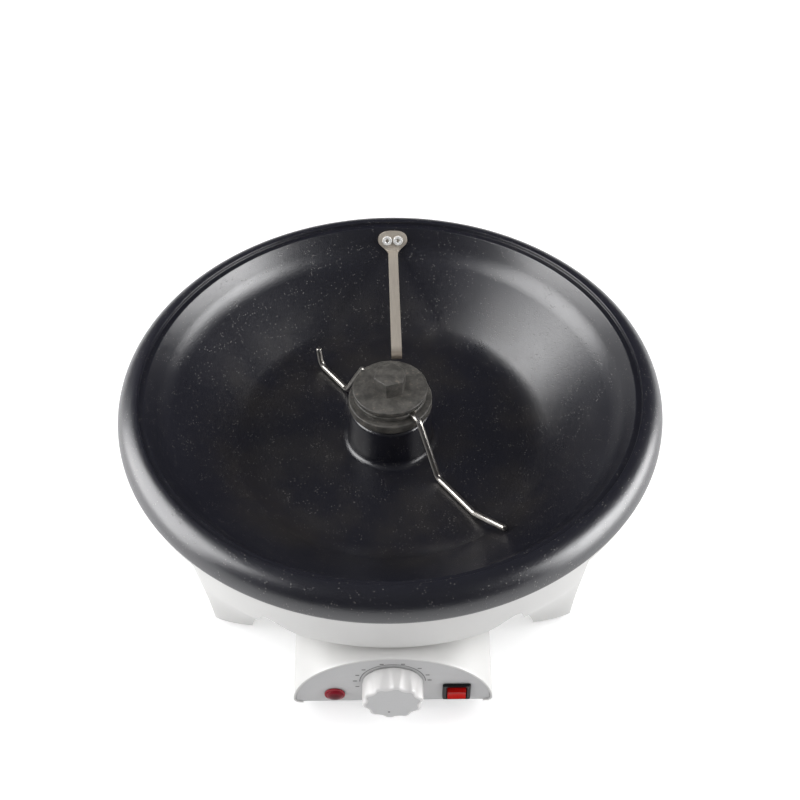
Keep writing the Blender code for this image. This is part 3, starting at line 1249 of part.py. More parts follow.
def make_stirrer():
    bore = SHAFT_R + GAP
    neck_z = COLLAR_TOP_Z - COLLAR_NECK_H
    bead_z = neck_z - COLLAR_BEAD_H
    groove_z = bead_z - COLLAR_GROOVE_H
    foot_z = COLLAR_Z + COLLAR_FOOT_H
    profile = [(bore, COLLAR_TOP_Z), (COLLAR_NECK_R, COLLAR_TOP_Z), (COLLAR_NECK_R, neck_z),
               (COLLAR_BEAD_R - COLLAR_EDGE, neck_z), (COLLAR_BEAD_R, neck_z - COLLAR_EDGE),
               (COLLAR_BEAD_R, bead_z + COLLAR_EDGE), (COLLAR_GROOVE_R, bead_z),
               (COLLAR_GROOVE_R, groove_z), (COLLAR_RING_R - COLLAR_EDGE, groove_z),
               (COLLAR_RING_R, groove_z - COLLAR_EDGE), (COLLAR_RING_R, foot_z + COLLAR_EDGE),
               (COLLAR_RING_R - COLLAR_EDGE, foot_z), (COLLAR_FOOT_R, foot_z),
               (COLLAR_FOOT_R, COLLAR_Z), (bore, COLLAR_Z)]
    collar = turned("stirrer_collar", profile, "hub_plastic", steps=ROUND_STEPS + SMALL_STEPS)
    tip_r = arm_tip_r()
    front = arm_path(ARM_START_R, ARM_BOWL_R, tip_r, ARM_TIP_RISE)
    rear = arm_path(ARM_START_R, REAR_ARM_BOWL_R, REAR_ARM_TIP_R, REAR_ARM_TIP_RISE)
    slot = arm_path(ARM_START_R - ARM_SLOT_CLEAR, ARM_BOWL_R, tip_r, ARM_TIP_RISE)
    for name, path, angle in (("front", front, ARM_TURN), ("rear", rear, ARM_TURN + pi)):
        tube("stirrer_arm_" + name, path, ARM_R, "stainless", turn=(0, 0, angle))
        cut(collar, tube("arm_slot_" + name, slot, ARM_R + ARM_SLOT_CLEAR, turn=(0, 0, angle)))

    disc = [(0, CAP_Z), (CAP_R - CAP_EDGE, CAP_Z), (CAP_R, CAP_Z + CAP_EDGE),
            (CAP_R, CAP_TOP_Z - CAP_EDGE), (CAP_R - CAP_EDGE, CAP_TOP_Z), (0, CAP_TOP_Z)]
    cap = turned("stirrer_cap", disc, "hub_plastic", steps=ROUND_STEPS + SMALL_STEPS)
    head = pegs("cap_head", [(0, 0)], HEX_SIDE, CAP_TOP_Z - SINK, CAP_TOP_Z + HEX_H,
                turn=(0, 0, HEX_TURN), steps=6)
    soften(head, HEX_EDGE)
    add(cap, head)
    cut(cap, pegs("cap_bore", [(0, 0)], bore, CAP_Z - OVERRUN, SHAFT_TOP_Z + GAP))


# Baffle strip and its rivets

def wall_normal():
    up = wall_direction()
    return Vector((-up.y, up.x))


def strip_path():
    """Middle of the strip in depth and height, from its head to its turned-down tip."""
    up, normal = wall_direction(), wall_normal()
    lift = normal * (STRIP_GAP + STRIP_T / 2)
    top = Vector((PAN_SEAT_R, SEAT_Z)) - up * STRIP_TOP_CLEAR + lift
    foot = top - up * STRIP_FLAT_L
    return rounded([(top.x, top.y, 0), (foot.x, foot.y, STRIP_BEND),
                    (STRIP_TIP_Y, STRIP_Z, STRIP_T), (STRIP_TIP_Y, STRIP_Z - STRIP_TIP_DROP, 0)])


def strip_half_width(s):
    """Half the strip's width at a length from its head's edge, over the shoulder to the neck."""
    head, neck = STRIP_HEAD_W / 2, STRIP_W / 2
    if s < STRIP_SHOULDER_L:
        round_share = (1 - s / STRIP_SHOULDER_L) ** STRIP_HEAD_POWER
        return head * (1 - round_share) ** (1 / STRIP_HEAD_POWER)
    taper = min((s - STRIP_SHOULDER_L) / (STRIP_HEAD_L - STRIP_SHOULDER_L), 1)
    return neck + (head - neck) * (1 + cos(pi * taper)) / 2


def walk(path, s):
    """Point and direction at a length along a path."""
    for a, b in zip(path, path[1:]):
        a, b = Vector(a), Vector(b)
        length = (b - a).length
        if s <= length or b == Vector(path[-1]):
            return a + (b - a) * min(s / length, 1), (b - a).normalized()
        s -= length


def make_strip():
    path = strip_path()
    lengths = [0]
    for a, b in zip(path, path[1:]):
        lengths.append(lengths[-1] + hypot(b[0] - a[0], b[1] - a[1]))
    stations = [STRIP_SHOULDER_L * (1 - cos(pi / 2 * (k + 0.5) / STRIP_SHOULDER_STEPS))
                for k in range(STRIP_SHOULDER_STEPS)]
    stations += [STRIP_SHOULDER_L + (STRIP_HEAD_L - STRIP_SHOULDER_L) * k / STRIP_NECK_STEPS
                 for k in range(STRIP_NECK_STEPS + 1)]
    stations += [s for s in lengths if s > STRIP_SHOULDER_L]
    sections = []
    for s in sorted(stations):
        before, after = walk(path, s - WELD), walk(path, s + WELD)
        way = (before[1] + after[1]).normalized()
        normal = Vector((way.y, -way.x)) * STRIP_T / 2
        middle, half = after[0], strip_half_width(s)
        inward = (path[0][0] - middle.x) / (path[0][0] - STRIP_TIP_Y)
        x = STRIP_X + (STRIP_TIP_X - STRIP_X) * inward
        sections.append([(x + side * half, middle.x + face * normal.x,
                          middle.y + face * normal.y)
                         for side, face in ((-1, -1), (1, -1), (1, 1), (-1, 1))])
    strip = loft("baffle_strip", sections, "stainless")
    cut(strip, rivet_tool("strip_rivet_holes"))


def rivet_places():
    centre = rivet_centre()
    lean = atan2(-wall_normal().x, wall_normal().y)
    return [((STRIP_X + side * RIVET_SPACING / 2, centre.x, centre.y), (lean, 0, 0))
            for side in (-1, 1)]


def rivet_tool(name):
    reach = PAN_WALL + OVERRUN
    tools = []
    for at, turn in rivet_places():
        tools.append(turned("rivet_hole", [(0, -reach), (RIVET_R + RIVET_CLEAR, -reach),
                                           (RIVET_R + RIVET_CLEAR, reach), (0, reach)],
                            at=at, turn=turn, steps=SMALL_STEPS))
    for tool in tools:
        settle(tool)
    return joined(name, tools)


def make_rivets():
    head = STRIP_GAP + STRIP_T + GAP
    tail = -PAN_WALL - GAP
    crown = [(RIVET_HEAD_R * across, RIVET_HEAD_H * out) for across, out in RIVET_CROWN_SHARES]
    profile = [(0, tail - RIVET_HEAD_H)]
    profile += [(r, tail - out) for r, out in crown[::-1]]
    profile += [(RIVET_HEAD_R, tail), (RIVET_R, tail), (RIVET_R, head), (RIVET_HEAD_R, head)]
    profile += [(r, head + out) for r, out in crown]
    profile += [(0, head + RIVET_HEAD_H)]
    for name, (at, turn) in zip(("left", "right"), rivet_places()):
        turned("strip_rivet_" + name, profile, "stainless", at, turn, steps=SMALL_STEPS)


def settle(obj):
    """Apply an object's modifiers and shade its round faces smooth."""
    bpy.context.view_layer.update()
    depsgraph = bpy.context.evaluated_depsgraph_get()
    mesh = bpy.data.meshes.new_from_object(obj.evaluated_get(depsgraph))
    obj.modifiers.clear()
    obj.data = mesh
    mesh.shade_smooth()
    mesh.set_sharp_from_angle(angle=radians(35))


make_pan()
make_stand()
make_bowl()
make_heater()
make_reflector()
make_ties()
make_sensors()
make_gears()
make_shaft()
make_motor()
make_tunnel()
make_gland()
make_panel()
make_bottom_plate()
make_terminal_block()
make_knob()
make_thermostat()
make_lamp()
make_switch()
make_stirrer()
make_strip()
make_rivets()
for part in list(PARTS.objects):
    if part.type == "MESH":
        settle(part)
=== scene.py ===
from math import atan2, cos, hypot, pi, radians, sin, sqrt, tan

import bmesh
import bpy
from mathutils import Matrix, Vector


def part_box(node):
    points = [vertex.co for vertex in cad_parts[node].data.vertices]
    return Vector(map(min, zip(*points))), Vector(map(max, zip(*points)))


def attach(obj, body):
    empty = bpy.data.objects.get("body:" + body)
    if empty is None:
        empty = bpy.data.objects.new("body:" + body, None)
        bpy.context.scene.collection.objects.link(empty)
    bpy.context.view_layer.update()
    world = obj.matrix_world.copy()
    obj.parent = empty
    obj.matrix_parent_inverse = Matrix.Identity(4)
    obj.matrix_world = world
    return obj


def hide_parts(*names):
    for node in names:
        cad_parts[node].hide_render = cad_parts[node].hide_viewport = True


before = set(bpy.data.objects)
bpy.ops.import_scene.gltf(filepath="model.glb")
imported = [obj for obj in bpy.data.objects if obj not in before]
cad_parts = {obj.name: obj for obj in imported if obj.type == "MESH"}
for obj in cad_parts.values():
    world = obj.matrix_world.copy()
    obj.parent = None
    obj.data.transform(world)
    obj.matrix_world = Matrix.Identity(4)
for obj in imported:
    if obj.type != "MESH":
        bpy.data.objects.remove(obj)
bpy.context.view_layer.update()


# Studio: a white sweep, a white room, two soft boxes beside the roaster and one above. Wide boxes
# that only show as shine give the coat its bright bands at the sides and leave its front dark.
# The camera looks down at the front and is turned by less than a degree, as the real one was.

class Tree:
    """A node tree that grows by one method."""

    def __init__(self, tree):
        self.tree = tree

    def node(self, kind, settings=None, inputs=None, output=0):
        """A node with its settings made first, then its sockets filled or linked."""
        node = self.tree.nodes.new(kind)
        for name, value in (settings or {}).items():
            if name == "stops":
                for stop, (place, colour) in zip(spread_stops(node, len(value)), value):
                    stop.position = place
                    stop.color = (*colour, 1)
            else:
                setattr(node, name, value)
        for name, value in (inputs or {}).items():
            self.feed(node.inputs[name], value)
        return Shade(self, node.outputs[output])

    def feed(self, socket, value):
        if isinstance(value, Shade):
            self.tree.links.new(value.socket, socket)
        elif socket.type == "RGBA" and len(value) == 3:
            socket.default_value = (*value, 1)
        else:
            socket.default_value = value


def spread_stops(node, count):
    while len(node.color_ramp.elements) < count:
        node.color_ramp.elements.new(1)
    return node.color_ramp.elements


class Shade:
    """A socket of a tree. Python's operators on it become Math nodes."""

    def __init__(self, tree, socket):
        self.tree = tree
        self.socket = socket

    def maths(self, operation, *values, clamp=False):
        return self.tree.node("ShaderNodeMath", {"operation": operation, "use_clamp": clamp},
                              dict(enumerate(values)))

    def __add__(self, other):
        return self.maths("ADD", self, other)

    __radd__ = __add__

    def __sub__(self, other):
        return self.maths("SUBTRACT", self, other)

    def __rsub__(self, other):
        return self.maths("SUBTRACT", other, self)

    def __mul__(self, other):
        return self.maths("MULTIPLY", self, other)

    __rmul__ = __mul__

    def __truediv__(self, other):
        return self.maths("DIVIDE", self, other)

    def __pow__(self, other):
        return self.maths("POWER", self, other)

    def __abs__(self):
        return self.maths("ABSOLUTE", self)

    def above(self, low, high):
        """0 below low, 1 above high, and a smooth rise between them."""
        return self.tree.node("ShaderNodeMapRange", {"interpolation_type": "SMOOTHSTEP"},
                              {"Value": self, "From Min": low, "From Max": high})

    def most(self, other):
        return self.maths("MAXIMUM", self, other)


class Finish(Tree):
    """A material: what is even all over is set on its shader, the rest is grown as nodes."""

    def __init__(self, name, **even):
        self.material = bpy.data.materials.new(name)
        self.material.use_nodes = True
        super().__init__(self.material.node_tree)
        self.shader = self.tree.nodes["Principled BSDF"]
        for socket, value in even.items():
            self.feed(self.shader.inputs[socket.replace("_", " ").title().replace("Ior", "IOR")],
                      value)

    def place(self, turn=(0, 0, 0), stretch=(1, 1, 1)):
        """Object coordinates in metres, turned and stretched."""
        raw = self.node("ShaderNodeTexCoord", output="Object")
        return self.node("ShaderNodeMapping", {}, {"Vector": raw, "Rotation": turn,
                                                   "Scale": stretch})

    def axis(self, name, at=None):
        """X, Y or Z of a place."""
        return self.node("ShaderNodeSeparateXYZ", {}, {0: at or self.place()}, name)

    def grain(self, per_metre, detail=2, at=None, rough=0.5):
        """Soft noise between 0 and 1 with so many waves in a metre."""
        return self.node("ShaderNodeTexNoise", {}, {
            "Vector": at or self.place(), "Scale": per_metre, "Detail": detail,
            "Roughness": rough})

    def specks(self, per_metre, size, at=None):
        """1 inside small round specks, one in each cell, and 0 between them."""
        far = self.node("ShaderNodeTexVoronoi", {}, {
            "Vector": at or self.place(), "Scale": per_metre}, "Distance")
        return 1 - far.above(size * 0.5, size)

    def blend(self, share, first, second):
        return self.node("ShaderNodeMix", {"data_type": "RGBA"}, {0: share, 6: first, 7: second}, 2)

    def ramp(self, value, *stops):
        return self.node("ShaderNodeValToRGB", {"stops": stops}, {"Fac": value})

    def wear(self, colour=None, roughness=None, height=None, bump=0.1, depth=0.001, metal=None):
        """Feed what varies over the surface to the shader."""
        if colour is not None:
            self.feed(self.shader.inputs["Base Color"], colour)
        if roughness is not None:
            self.feed(self.shader.inputs["Roughness"], roughness)
        if metal is not None:
            self.feed(self.shader.inputs["Metallic"], metal)
        if height is not None:
            normal = self.node("ShaderNodeBump", {}, {
                "Strength": bump, "Distance": depth, "Height": height})
            self.feed(self.shader.inputs["Normal"], normal)
        return self.material


def new_object(name, data):
    obj = bpy.data.objects.new(name, data)
    bpy.context.scene.collection.objects.link(obj)
    return obj


sweep_r, sweep_near, sweep_far = 4.0, 0.45, 1.1
sweep_glow = (0.42, 0.42, 0.42)
sweep = Finish("white_sweep", roughness=0.6, emission_strength=1.0)
seen = sweep.node("ShaderNodeLightPath", output="Is Camera Ray").most(
    sweep.node("ShaderNodeLightPath", output="Is Glossy Ray")).most(
    sweep.node("ShaderNodeLightPath", output="Is Transmission Ray"))
far_off = sweep.node("ShaderNodeVectorMath", {"operation": "LENGTH"}, {0: sweep.place()},
                     "Value").above(sweep_near, sweep_far)
sweep.feed(sweep.shader.inputs["Base Color"], sweep.blend(far_off, (0.80, 0.80, 0.80), (0, 0, 0)))
sweep.feed(sweep.shader.inputs["Emission Color"], sweep.blend(
    seen, (0, 0, 0), sweep.blend(far_off, sweep_glow, (1, 1, 1))))
floor_mesh = bpy.data.meshes.new("studio_floor")
floor_shape = bmesh.new()
bmesh.ops.create_circle(floor_shape, cap_ends=True, segments=64, radius=sweep_r)
floor_shape.to_mesh(floor_mesh)
floor_shape.free()
floor_mesh.materials.append(sweep.material)
studio_floor = new_object("studio_floor", floor_mesh)

front_glow, shine_glow = (0.62, 0.62, 0.63), (0.06, 0.06, 0.070)
room = bpy.data.worlds.new("white_room")
room.use_nodes = True
room_tree = Tree(room.node_tree)
room_shader = room.node_tree.nodes["Background"]
to_camera = room_tree.node("ShaderNodeLightPath", output="Is Camera Ray")
aim = room_tree.node("ShaderNodeTexCoord", output="Generated")
aim_y = room_tree.node("ShaderNodeSeparateXYZ", {}, {0: aim}, "Y")
aim_z = room_tree.node("ShaderNodeSeparateXYZ", {}, {0: aim}, "Z")
front = (-1 * aim_y).above(-0.2, 0.7)
glow = room_tree.node("ShaderNodeValToRGB", {"stops": (
    (0.00, (0.95, 0.95, 0.95)), (0.12, (0.60, 0.60, 0.61)), (0.45, (0.26, 0.26, 0.27)),
    (1.00, (0.40, 0.40, 0.41)))}, {"Fac": aim_z})
glow = room_tree.node("ShaderNodeMix", {"data_type": "RGBA"}, {
    0: front, 6: glow, 7: front_glow}, 2)
mirrored = room_tree.node("ShaderNodeLightPath", output="Is Glossy Ray")
glow = room_tree.node("ShaderNodeMix", {"data_type": "RGBA"}, {
    0: mirrored, 6: glow, 7: shine_glow}, 2)
room_tree.feed(room_shader.inputs["Color"], room_tree.node(
    "ShaderNodeMix", {"data_type": "RGBA"}, {0: to_camera, 6: glow, 7: (1, 1, 1)}, 2))
bpy.context.scene.world = room


lit_spot = Vector((0, 0, 0.08))


def soft_box(name, bearing, rise, far, width, height, glow, shine=False):
    """Area light that faces the pan from a bearing and a rise, either seen only as shine or not."""
    lamp = bpy.data.lights.new(name, "AREA")
    lamp.shape = "RECTANGLE"
    lamp.size, lamp.size_y, lamp.energy = width, height, glow * pi * width * height
    at = lit_spot + Matrix.Rotation(radians(bearing), 3, "Z") @ Vector(
        (far * cos(radians(rise)), 0, far * sin(radians(rise))))
    obj = new_object(name, lamp)
    obj.visible_diffuse, obj.visible_glossy = not shine, shine
    obj.matrix_world = Matrix.Translation(at) @ (
        lit_spot - at).to_track_quat("-Z", "Y").to_matrix().to_4x4()


soft_box("left_box", 180, 22, 1.2, 0.80, 0.70, 5.6)
soft_box("right_box", 5, 24, 1.2, 0.80, 0.60, 6.5)
soft_box("top_box", 90, 70, 1.5, 0.90, 0.60, 2.0)
soft_box("left_shine", 180, 24, 1.2, 1.14, 1.20, 6.2, shine=True)
soft_box("right_shine", -6, 4, 1.2, 1.15, 0.74, 8.0, shine=True)
soft_box("right_high_shine", -19, 27, 1.2, 0.52, 0.40, 8.0, shine=True)

camera_at, camera_pitch, camera_turn = (0.0063, -0.48765, 0.605), radians(43.58), radians(-0.7)
camera = bpy.data.cameras.new("camera")
camera.sensor_width = 36
camera.lens = 49.41
camera_object = new_object("camera", camera)
camera_object.matrix_world = (Matrix.Translation(camera_at)
                              @ Matrix.Rotation(camera_pitch, 4, "X")
                              @ Matrix.Rotation(camera_turn, 4, "Z"))
bpy.context.scene.camera = camera_object
bpy.context.scene.view_settings.view_transform = "Standard"


# Stand: the white moulded body that carries the pan, a skirt under the flare with an arch in
# front and behind and four hollow legs. One injection moulding in ABS, 2.6 mm thick, with a
# web inside its top edge for the sheet bowl to screw to and an upstand under the flare.

pan_low, pan_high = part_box("roasting_pan")
axis_y = (pan_low.y + pan_high.y) / 2
skirt_top_z, skirt_top_r = 0.0934, 0.1724
skirt_edge_z, skirt_edge_r = 0.0576, 0.1657
side_edge_z = 0.0872
foot_z, foot_half_x, foot_half_y, foot_power = 0.003, 0.135, 0.1175, 6
leg_side_x, leg_in_x, notch_x, apron_x = 0.113, 0.089, 0.0735, 0.056
notch_rise, notch_round, apron_round = 0.013, 0.0035, 0.020
leg_back = ((0.088, 0.003, 0), (0.098, 0.078, 0.006), (0.112, 0.0872, 0))
moulding_t, moulding_ease = 0.0026, 0.0007
pad_t, pad_gap, pad_side_gap, pad_back_y, pad_ease = 0.003, 0.0006, 0.0004, 0.0884, 0.0003
web_z, web_t, web_in_r, web_r = 0.0902, 0.0024, 0.1575, 0.1704
upstand_in_r, upstand_r, upstand_z = 0.1625, 0.165, 0.1056


def rounded(corners, steps=8):
    """Open outline through corners (x, y, radius), each radius swept as an arc."""
    points = [tuple(corners[0][:2])]
    for (ax, ay, _), (x, y, radius), (bx, by, _) in zip(corners, corners[1:], corners[2:]):
        corner = Vector((x, y))
        if radius == 0:
            points.append((x, y))
            continue
        before = (Vector((ax, ay)) - corner).normalized()
        after = (Vector((bx, by)) - corner).normalized()
        half = before.angle(after) / 2
        centre = corner + (before + after).normalized() * radius / sin(half)
        start = corner + before * radius / tan(half) - centre
        end = corner + after * radius / tan(half) - centre
        swing = atan2(start.cross(end), start.dot(end))
        for k in range(steps + 1):
            angle = swing * k / steps
            points.append((centre.x + start.x * cos(angle) - start.y * sin(angle),
                           centre.y + start.x * sin(angle) + start.y * cos(angle)))
    return points + [tuple(corners[-1][:2])]


def height_at(outline, x):
    """Second value of an outline at a first value, which only grows along it."""
    for (xa, ya), (xb, yb) in zip(outline, outline[1:]):
        if x <= xb:
            return ya + (yb - ya) * (x - xa) / (xb - xa)
    return outline[-1][1]


def between(first, last, steps):
    """Values from first up to, not with, last."""
    return [first + (last - first) * k / steps for k in range(steps)]


def stand_wall(x, z):
    """How far the moulding's outer face is from the middle at a place across and a height."""
    if z >= skirt_edge_z:
        radius = skirt_top_r - (skirt_top_r - skirt_edge_r) * (skirt_top_z - z) / (
            skirt_top_z - skirt_edge_z)
        return sqrt(radius ** 2 - x ** 2)
    share = (skirt_edge_z - z) / (skirt_edge_z - foot_z)
    y = sqrt(skirt_edge_r ** 2 - x ** 2)
    for _ in range(12):
        angle = atan2(y, abs(x))
        foot_radius = ((cos(angle) / foot_half_x) ** foot_power
                       + (sin(angle) / foot_half_y) ** foot_power) ** (-1 / foot_power)
        radius = skirt_edge_r + (foot_radius - skirt_edge_r) * share
        y = sqrt(radius ** 2 - x ** 2)
    return y


class Sheet:
    """Faces laid in rows of points, that share their edges where the points meet."""

    def __init__(self):
        self.shape = bmesh.new()

    def lay(self, rows, closed=False):
        grid = [[self.shape.verts.new(point) for point in row] for row in rows]
        for upper, lower in zip(grid, grid[1:]):
            count = len(upper) if closed else len(upper) - 1
            for i in range(count):
                j = (i + 1) % len(upper)
                self.shape.faces.new((upper[i], lower[i], lower[j], upper[j]))
        return grid

    def cap(self, ring):
        self.shape.faces.new(ring)

    def weld(self, gap=0.000002):
        bmesh.ops.remove_doubles(self.shape, verts=self.shape.verts, dist=gap)
        bmesh.ops.dissolve_degenerate(self.shape, edges=self.shape.edges, dist=gap)
        bmesh.ops.recalc_face_normals(self.shape, faces=self.shape.faces)

    def mesh(self, name):
        made = bpy.data.meshes.new(name)
        self.shape.to_mesh(made)
        self.shape.free()
        return made


def turned_shape(profile, steps, middle=(0, 0, 0)):
    """Closed body turned about an upright axis from a closed (radius, height) profile."""
    sheet = Sheet()
    profile = list(profile) + [profile[0]]
    sheet.lay([[(middle[0] + r * cos(2 * pi * k / steps), middle[1] + r * sin(2 * pi * k / steps),
                 middle[2] + z) for k in range(steps)] for r, z in profile], closed=True)
    sheet.weld()
    return sheet


def settled(obj, crease=35):
    """Plain mesh in place of an object's modifiers, smooth but for its creases."""
    bpy.context.view_layer.update()
    made = bpy.data.meshes.new_from_object(
        obj.evaluated_get(bpy.context.evaluated_depsgraph_get()))
    obj.modifiers.clear()
    obj.data = made
    made.shade_smooth()
    made.set_sharp_from_angle(angle=radians(crease))
    return obj


def thickened(obj, thickness, group=""):
    wall = obj.modifiers.new("Wall", "SOLIDIFY")
    wall.thickness = thickness
    wall.offset = -1
    wall.use_even_offset = True
    wall.vertex_group = group
    return obj


def eased(obj, width, segments=3, crease=35):
    """Rounds an object's edges."""
    bevel = obj.modifiers.new("Edges", "BEVEL")
    bevel.width = width
    bevel.segments = segments
    bevel.limit_method = "ANGLE"
    bevel.angle_limit = radians(crease)
    bevel.harden_normals = False
    return obj


def joined(name, objects):
    """One object of several, which go."""
    shape = bmesh.new()
    for obj in objects:
        shape.from_mesh(obj.data)
        bpy.data.objects.remove(obj, do_unlink=True)
    made = bpy.data.meshes.new(name)
    shape.to_mesh(made)
    shape.free()
    made.shade_smooth()
    made.set_sharp_from_angle(angle=radians(35))
    return new_object(name, made)


def fitted(obj, material, body, slot, *stands_for):
    """Gives a finished piece its material, its body and the solids that it stands for."""
    obj.data.materials.clear()
    obj.data.materials.append(material)
    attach(obj, body)
    if stands_for:
        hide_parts(*stands_for)
    return obj


def moulded_white(name, tone):
    """Warm white ABS with a faint moulded texture and hardly seen flow marks."""
    white = Finish(name, ior=1.50, coat_roughness=0.2)
    flow = white.grain(9, 3)
    fine = white.grain(900, 2)
    return white.wear(
        colour=white.blend(flow.above(0.35, 0.65), [0.94 * c for c in tone], tone),
        roughness=0.33 + 0.08 * flow + 0.05 * fine, height=fine, bump=0.10, depth=0.0002)


white_tone = (0.76, 0.755, 0.74)
stand_white = moulded_white("stand_white", white_tone)

arch_line = rounded([(0, skirt_edge_z, 0), (apron_x, skirt_edge_z, apron_round),
                     (notch_x, skirt_edge_z + notch_rise, notch_round), (leg_in_x, foot_z, 0)], 10)
across = between(0, arch_line[1][0], 16) + [x for x, _ in arch_line[1:-2]]
across += between(arch_line[-2][0], leg_in_x, 22) + between(leg_in_x, leg_side_x, 8)
across = across + [leg_side_x]
across = [-x for x in across[:0:-1]] + across
back_line = [(z, y) for y, z in rounded(leg_back, 5)]
top_levels = between(skirt_top_z, side_edge_z, 3)


def leg_levels(x):
    """Heights down the moulding's face at a place across, to its lower edge."""
    edge = foot_z if abs(x) > leg_in_x else height_at(arch_line, abs(x))
    knee = max(edge, skirt_edge_z)
    return between(side_edge_z, knee, 8) + between(knee, edge, 16) + [edge]


stand = Sheet()
for front in (-1, 1):
    columns = []
    for x in across:
        levels = top_levels + leg_levels(x)
        columns.append([(x, axis_y + front * stand_wall(x, z), z) for z in levels])
    stand.lay(columns)
    for side in (-1, 1):
        rows = []
        for z in leg_levels(leg_side_x):
            wall, back = stand_wall(leg_side_x, z), height_at(back_line, z)
            rows.append([(side * leg_side_x, axis_y + front * y, z)
                         for y in between(wall, back, 6) + [back]])
        stand.lay(rows)
for side in (0, pi):
    rows = []
    for z in top_levels + [side_edge_z]:
        radius = hypot(leg_side_x, stand_wall(leg_side_x, z))
        first = atan2(stand_wall(leg_side_x, z), leg_side_x)
        rows.append([(radius * cos(side + angle), axis_y + radius * sin(side + angle), z)
                     for angle in between(-first, first, 40) + [first]])
    stand.lay(rows)
stand.weld()
shell = new_object("stand_wall", stand.mesh("stand_wall"))
eased(thickened(shell, moulding_t), moulding_ease)
settled(shell)

pads = []
for front in (-1, 1):
    for side in (-1, 1):
        rim = [(x, stand_wall(x, foot_z) - pad_gap)
               for x in between(leg_in_x + pad_side_gap, leg_side_x - pad_side_gap, 12)]
        rim += [(leg_side_x - pad_gap, pad_back_y), (leg_in_x + pad_side_gap, pad_back_y)]
        pad = Sheet()
        rings = pad.lay([[(side * x, axis_y + front * y, z) for x, y in rim]
                         for z in (foot_z + 0.0001, foot_z + pad_t)], closed=True)
        pad.cap(rings[0])
        pad.cap(rings[1])
        pad.weld()
        pads.append(eased(new_object("pad", pad.mesh("pad")), pad_ease, 2))
        settled(pads[-1])

web = turned_shape(rounded([
    (web_in_r, web_z, 0), (web_r, web_z, 0), (web_r, web_z + web_t, 0),
    (upstand_r, web_z + web_t, 0.0006), (upstand_r, upstand_z, 0.0006),
    (upstand_in_r, upstand_z, 0.0006), (upstand_in_r, web_z + web_t, 0.0006),
    (web_in_r, web_z + web_t, 0.0004), (web_in_r, web_z + 0.0001, 0)], 3), 160, (0, axis_y, 0))
web_ring = new_object("web", web.mesh("web"))
fitted(joined("stand", [shell, web_ring] + pads), stand_white, "stand", "white_plastic",
       "housing_shell")


# Rubber feet: four soft discs under the legs, each with a peg pressed into the leg's pad. Moulded
# black rubber with a rounded lower edge and a ring groove underneath that keeps them from sliding.

class Pattern(Tree):
    """A geometry tree whose named inputs are the sizes that it is given."""

    kinds = {int: "NodeSocketInt", float: "NodeSocketFloat", tuple: "NodeSocketVector"}

    def __init__(self, name, **sizes):
        group = bpy.data.node_groups.new(name, "GeometryNodeTree")
        super().__init__(group)
        group.interface.new_socket("Geometry", in_out="OUTPUT", socket_type="NodeSocketGeometry")
        group.interface.new_socket("Geometry", in_out="INPUT", socket_type="NodeSocketGeometry")
        self.values = {}
        for label, value in sizes.items():
            socket = group.interface.new_socket(label, in_out="INPUT",
                                                socket_type=self.kinds[type(value)])
            self.values[socket.identifier] = value
        self.entry = group.nodes.new("NodeGroupInput")
        self.exit = group.nodes.new("NodeGroupOutput")

    def size(self, label="Geometry"):
        return Shade(self, self.entry.outputs[label])

    def grown(self, name, mesh, geometry, material):
        """Plain object of what the tree makes of a mesh, with every copy real."""
        real = self.node("GeometryNodeRealizeInstances", {}, {0: geometry})
        painted = self.node("GeometryNodeSetMaterial", {}, {"Geometry": real,
                                                            "Material": material})
        self.tree.links.new(painted.socket, self.exit.inputs[0])
        obj = new_object(name, mesh)
        modifier = obj.modifiers.new("Pattern", "NODES")
        modifier.node_group = self.tree
        for identifier, value in self.values.items():
            modifier[identifier] = value
        return settled(obj)


foot_r, foot_round, foot_top_z = 0.0085, 0.0012, 0.0027
hollow_r, groove_in_r, groove_r, foot_groove_h = 0.0044, 0.0057, 0.0069, 0.0006
peg_r, peg_z, foot_ease, tread_lean = 0.002, 0.0056, 0.0002, 0.0003
foot_spread = (0.202, 0.2035)
rubber = Finish("foot_rubber", ior=1.48)
rubber_grain = rubber.grain(700, 3)
rubber.wear(colour=rubber.blend(rubber_grain, (0.020, 0.020, 0.021), (0.036, 0.035, 0.034)),
            roughness=0.72 + 0.16 * rubber_grain, height=rubber_grain, bump=0.25, depth=0.0003)
foot = turned_shape(rounded([
    (0, foot_groove_h, 0), (hollow_r, foot_groove_h, foot_ease),
    (hollow_r + tread_lean, 0, foot_ease), (groove_in_r, 0, foot_ease),
    (groove_in_r + tread_lean, foot_groove_h, foot_ease),
    (groove_r - tread_lean, foot_groove_h, foot_ease), (groove_r, 0, foot_ease),
    (foot_r, 0, foot_round), (foot_r, foot_top_z, 2 * foot_ease), (peg_r, foot_top_z, 0),
    (peg_r, peg_z, 2 * foot_ease), (0, peg_z, 0), (0, foot_groove_h + 0.0001, 0)], 4), 48)
feet = Pattern("four_feet", Spread_X=foot_spread[0], Spread_Y=foot_spread[1],
               Middle=(0.0, axis_y, 0.0))
corners = feet.node("GeometryNodeMeshGrid", {}, {
    "Size X": feet.size("Spread_X"), "Size Y": feet.size("Spread_Y"),
    "Vertices X": 2, "Vertices Y": 2})
corners = feet.node("GeometryNodeTransform", {}, {0: corners, "Translation": feet.size("Middle")})
copies = feet.node("GeometryNodeInstanceOnPoints", {}, {"Points": corners,
                                                        "Instance": feet.size()})
fitted(feet.grown("rubber_feet", foot.mesh("foot"), copies, rubber.material), rubber.material,
       "stand", "rubber", "rubber_foot_front_left", "rubber_foot_front_right",
       "rubber_foot_rear_left", "rubber_foot_rear_right")


# Sheet bowl: the white enamelled steel dish that hangs from the stand's web and holds the heater.
# Pressed from 1 mm sheet, so every bend has a radius, and glossier than the mouldings around it.

